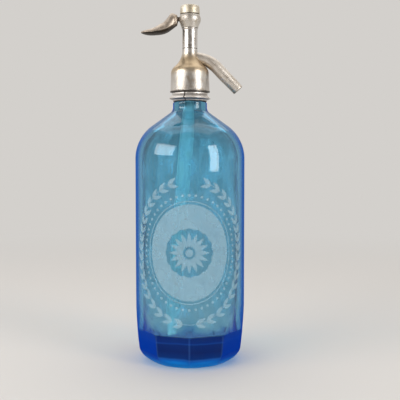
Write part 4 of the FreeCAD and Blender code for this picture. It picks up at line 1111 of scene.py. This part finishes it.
# ---------------- lever housing
# Cast bulb, slotted on the left for the lever; the lever's pin is filed flush with it.
# It is open inside for the rod and the spring, and threaded at its top for the cap.
BULB_NECK = 3.5
BULB_COLLAR = 1.0
BULB_NECK_RADIUS = 8.1
BULB_ROUNDING = 6.4
BULB_EDGE = 0.3
BULB_MEETING = math.radians(-30.0)
BULB_SOCKET = 4.45
BULB_SOCKET_DEPTH = 3.3
BULB_BORE = 3.4
BULB_THREAD = 6.05
BULB_THREAD_DEPTH = 1.5
SLOT_HALF_WIDTH = 2.25
SLOT_LENGTH = 20.0
SLOT_FOOT = 3.9
SLOT_HEIGHT = 7.3


def bulb_profile():
    """A cone that swells into a round bulge under a short collar, open inside.

    The cone meets the bulge 30 degrees below its middle.
    """
    half = (bulb_top - BULB_COLLAR - bulb_foot - BULB_NECK) / 2
    centre = np.array([BULB_NECK_RADIUS - math.sqrt(BULB_ROUNDING ** 2 - half ** 2),
                       bulb_foot + BULB_NECK + half])
    return trace(
        (BULB_SOCKET, bulb_foot),
        ((BULB_FOOT_RADIUS, bulb_foot), 0.6),
        ((BULB_FOOT_RADIUS, bulb_foot + BULB_EDGE), BULB_EDGE, -math.pi / 2, 0, 0.1),
        (centre + BULB_ROUNDING * heading_vector(BULB_MEETING), 0.5),
        (centre, BULB_ROUNDING, BULB_MEETING, math.asin(half / BULB_ROUNDING), 0.35),
        ((BULB_NECK_RADIUS, bulb_top), 0.5),
        ((BULB_THREAD, bulb_top), 0.6),
        ((BULB_THREAD, bulb_top - BULB_THREAD_DEPTH), 0.8),
        ((BULB_BORE, bulb_top - BULB_THREAD_DEPTH), 0.8),
        ((BULB_BORE, bulb_foot + BULB_SOCKET_DEPTH), 0.8),
        ((BULB_SOCKET, bulb_foot + BULB_SOCKET_DEPTH), 0.8),
        ((BULB_SOCKET, bulb_foot), 0.8))


housing = turned_piece("lever_housing_casting", "lever_housing", bulb_profile(),
                       housing_pewter)
# the slot is cut by a box from the axis to well outside the bulb
slot_side = np.array([-1, -1, 1, 1]) * SLOT_HALF_WIDTH
slot_rise = bulb_foot + SLOT_FOOT + np.array([[0.0], [SLOT_HEIGHT]])
slot_reach = np.array([-1, 0, 0, -1]) * SLOT_LENGTH
cutter = grid_piece("slot_cutter", grid_of(slot_reach, slot_side, slot_rise), "root", pewter,
                    ends=True)
cut = housing.modifiers.new("slot", "BOOLEAN")
cut.operation = "DIFFERENCE"
cut.solver = "EXACT"
cut.object = cutter
bpy.context.view_layer.update()
evaluated = housing.evaluated_get(bpy.context.evaluated_depsgraph_get())
slotted = bpy.data.meshes.new_from_object(evaluated)
housing.modifiers.clear()
housing.data = slotted
bpy.data.objects.remove(cutter)
slotted.set_sharp_from_angle(angle=math.radians(40))


# ---------------- return spring
# Open coil of drawn steel wire between the rod's collar and the cap's ceiling, drawn at
# rest; in the real head its foot rises with the rod and its top stays under the cap.
SPRING_RADIUS = 2.35
SPRING_WIRE_RADIUS = 0.35
SPRING_TURNS = 5.0
spring_foot, spring_top = height_span("return_spring")


def coil_points():
    """A wire carried up a helix: rings that stand in the plane of the axis and the radius."""
    share = np.linspace(0, 1, 320)[:, None]
    around = full_turn(12)
    radius = SPRING_RADIUS + SPRING_WIRE_RADIUS * np.cos(around)
    low_middle, high_middle = spring_foot + SPRING_WIRE_RADIUS, spring_top - SPRING_WIRE_RADIUS
    height = (low_middle + (high_middle - low_middle) * share
              + SPRING_WIRE_RADIUS * np.sin(around))
    return round_axis(radius, 2 * math.pi * SPRING_TURNS * share, height)


spring = grid_piece("return_spring_coil", coil_points(), None, FINISHES["steel"],
                    ends=True)
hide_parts("return_spring")
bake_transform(spring)


# ---------------- washer and cap
# Turned cap with a softly rounded top, screwed down on a fibre washer over the spring. Its
# skirt comes down round the washer and the top of the housing.
SKIRT_DEPTH = 1.45
SKIRT_BORE = 8.3
CAP_RADIUS = 8.75
CAP_ROOF = 2.3
cap_foot, cap_top = height_span("cap_washer")[1], height_span("top_cap")[1]
turned_piece("top_cap_casting", "top_cap", rounded([
    (BULB_BORE, cap_foot, 0), (SKIRT_BORE, cap_foot, 0),
    (SKIRT_BORE, cap_foot - SKIRT_DEPTH, 0.1), (CAP_RADIUS, cap_foot - SKIRT_DEPTH, 0.25),
    (CAP_RADIUS - 0.05, cap_top - 3.0, 1.0), (8.1, cap_top - 0.4, 1.3), (4.0, cap_top, 3.0),
    (0.0, cap_top, 0), (0.0, cap_top - CAP_ROOF, 0), (BULB_BORE, cap_top - CAP_ROOF, 0.5)],
    0.6), cap_pewter)


# ---------------- the lever
# Cast in one piece: a horn-shaped thumb piece, thick at its root and flat and leaf-shaped
# at its end, on a narrow arm that enters the housing and turns on the pin.
PIN_HEIGHT = bulb_foot + 8.0
HORN_ROOT = 1.6
HORN_TIP = 0.5
# each is reach, half width, widest line below the pin, crest above that line, keel below
# it, and crispness of the side edge
LEVER_STATIONS = np.array([
    (12.2, 3.9, 2.5, 6.7, 3.7, 0.0),
    (14.0, 5.6, 3.9, 8.8, 3.6, 0.0),
    (16.8, 7.0, 6.2, 11.3, 3.3, 0.1),
    (19.5, 7.8, 8.0, 9.8, 3.3, 0.1),
    (23.1, 8.1, 9.5, 7.2, 3.3, 0.2),
    (26.6, 8.3, 10.6, 6.3, 2.9, 0.2),
    (30.2, 8.2, 11.4, 4.9, 2.4, 0.2),
    (34.0, 7.8, 11.8, 3.6, 2.2, 0.2),
    (38.0, 6.6, 11.8, 2.6, 2.0, 0.2),
    (41.0, 4.1, 11.7, 1.8, 1.5, 0.2),
    (43.2, 1.2, 11.6, 1.0, 0.8, 0.1)])
# each is place along X, height over the pin, half height and half width; the narrow ones
# are the nose, whose tip hangs by its drop in the rod's mortise
NOSE_DROP = 0.92
ARM_STATIONS = np.array([
    (-13.6, 0.0, 0.01, 0.01), (-13.6, 0.0, 1.9, 2.0), (-11.5, 0.0, 1.85, 2.0),
    (-9.0, 0.0, 1.8, 2.0), (-6.0, 0.0, 1.8, 2.0), (-3.2, -0.3, 1.2, 2.0),
    (-3.0, -0.35, 0.5, 1.05), (-1.0, -0.74, 0.5, 1.05), (-0.6, -NOSE_DROP, 0.8, 1.05),
    (0.0, -NOSE_DROP, 0.88, 1.05), (0.6, -NOSE_DROP, 0.6, 1.05),
    (0.8, -NOSE_DROP, 0.01, 0.01)])


def smooth_through(places, values, at):
    """A smooth curve through values: cubic pieces whose slopes average their neighbours'."""
    slopes = np.gradient(values, places, axis=0)
    piece = np.clip(np.searchsorted(places, at) - 1, 0, len(places) - 2)
    width = (places[piece + 1] - places[piece])[:, None]
    share = (at - places[piece])[:, None] / width
    square, cube = share ** 2, share ** 3
    return (values[piece] * (2 * cube - 3 * square + 1)
            + slopes[piece] * width * (cube - 2 * square + share)
            + values[piece + 1] * (3 * square - 2 * cube)
            + slopes[piece + 1] * width * (cube - square))


def horn_points():
    """The thumb piece: at each reach a rounded crest above a shallower keel.

    Round the section, the width is half width times cosine and the height is crest or keel
    times a power of the sine: one is an ellipse, and more draws both halves out to a crisp
    side edge. The root closes in a quarter circle and the tip in a narrow round end.
    """
    places, sizes = LEVER_STATIONS[:, 0], LEVER_STATIONS[:, 1:]
    reaches = places[0] + (places[-1] - places[0]) * np.sin(np.linspace(0, math.pi / 2, 90))
    half_width, line, crest, keel, crispness = smooth_through(
        places, sizes, reaches).T[..., None]
    angle = full_turn(72)
    lift = np.where(np.sin(angle) >= 0, crest, -keel) * np.abs(np.sin(angle)) ** (1 + crispness)
    body = grid_of(-reaches[:, None], half_width * np.cos(angle), PIN_HEIGHT - line + lift)
    root, tip = body[0].mean(axis=0), body[-1].mean(axis=0)
    turn = np.linspace(0, math.pi / 2, 7)[:-1, None, None]
    outwards = np.array([1.0, 0.0, 0.0])
    root_end = root + (body[0] - root) * np.sin(turn) + HORN_ROOT * np.cos(turn) * outwards
    tip_end = tip + (body[-1] - tip) * np.sin(turn) - HORN_TIP * np.cos(turn) * outwards
    return np.concatenate([root_end, body, tip_end[::-1]])


def arm_points():
    """The arm: a bar along X whose section is a superellipse of the fourth power.

    Both its axes go as the square root of the sine or cosine, with the sign kept.
    """
    angle = full_turn(32)
    across, up = [np.sign(way) * np.sqrt(np.abs(way)) for way in (np.cos(angle), np.sin(angle))]
    along, height, half_height, half_width = ARM_STATIONS.T[..., None]
    return grid_of(along, half_width * across, PIN_HEIGHT + height + half_height * up)


horn = grid_piece("lever_thumb_piece", horn_points(), "thumb_lever", dull_pewter)
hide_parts("lever")
grid_piece("lever_arm", arm_points(), "thumb_lever", shaded_arm_finish)


# ---------------- floor and studio
# A pale matt floor, with a broad soft lamp left of the camera, a tall one right of it and a
# large one above. Farther off, the floor glows in the backdrop's own colour, so that its edge
# never shows.
FLOOR_HALF = 3.0
BACKDROP = "#d3d0cc"
ROOM = "#b4b0ad"
DARK_SIDE = "#6a655f"
LAMPS_AIM = Vector((0.0, 0.0, 0.18))

floor_mesh = bpy.data.meshes.new("floor")
floor_mesh.from_pydata([(x * FLOOR_HALF, y * FLOOR_HALF, 0)
                        for x, y in ((-1, -1), (1, -1), (1, 1), (-1, 1))],
                       [], [(0, 1, 2, 3)])
floor = bpy.data.objects.new("floor", floor_mesh)
bpy.context.scene.collection.objects.link(floor)
paper, add, spot = new_material("matt_paper")
distance = add("VectorMath", spot, operation="LENGTH")
far = add("MapRange", {"Value": distance, "From Min": 0.25, "From Max": 1.1}, **SMOOTH)
matt = add("BsdfPrincipled", {"Base Color": BACKDROP, "Roughness": 0.8})
glow = add("Emission", {"Color": BACKDROP})
add("OutputMaterial", {"Surface": add("MixShader", far, matt, glow)})
floor_mesh.materials.append(paper)

# name, place, width and height in metres, and watts
for name, place, width, height, watts in (
        ("lamp_left", (-1.27, -0.83, 0.80), 1.3, 0.75, 17.0),
        ("lamp_right", (1.20, -0.95, 0.62), 0.55, 1.0, 12.0),
        ("lamp_top", (0.0, 0.6, 1.7), 2.2, 2.2, 14.0)):
    lamp_data = bpy.data.lights.new(name, "AREA")
    lamp_data.shape = "RECTANGLE"
    lamp_data.size = width
    lamp_data.size_y = height
    lamp_data.energy = watts
    lamp = bpy.data.objects.new(name, lamp_data)
    lamp.location = place
    aim = LAMPS_AIM - Vector(place)
    lamp.rotation_euler = aim.to_track_quat("-Z", "Y").to_euler()
    bpy.context.scene.collection.objects.link(lamp)

world, add = with_nodes(bpy.data.worlds.new("studio"))
room_light = add("Background", {"Color": ROOM, "Strength": 1.0})
# metal and glass mirror a room that is darker in front of them than behind
direction = add("TexCoord").outputs["Generated"]
depth = add("SeparateXYZ", direction).outputs["Y"]
behind = add("MapRange", {"Value": depth, "From Min": -0.9, "From Max": 0.5}, **SMOOTH)
mirrored = add("Mix", {"Factor": behind, "A": DARK_SIDE, "B": BACKDROP}, data_type="RGBA")
mirror_light = add("Background", {"Color": mirrored})
backdrop = add("Background", {"Color": BACKDROP})
ray = add("LightPath").outputs
seen = add("Math", ray["Is Camera Ray"], ray["Is Transmission Ray"], operation="MAXIMUM")
unseen = add("MixShader", ray["Is Glossy Ray"], room_light, mirror_light)
add("OutputWorld", {"Surface": add("MixShader", seen, unseen, backdrop)})
bpy.context.scene.world = world
bpy.context.scene.view_settings.view_transform = "Standard"
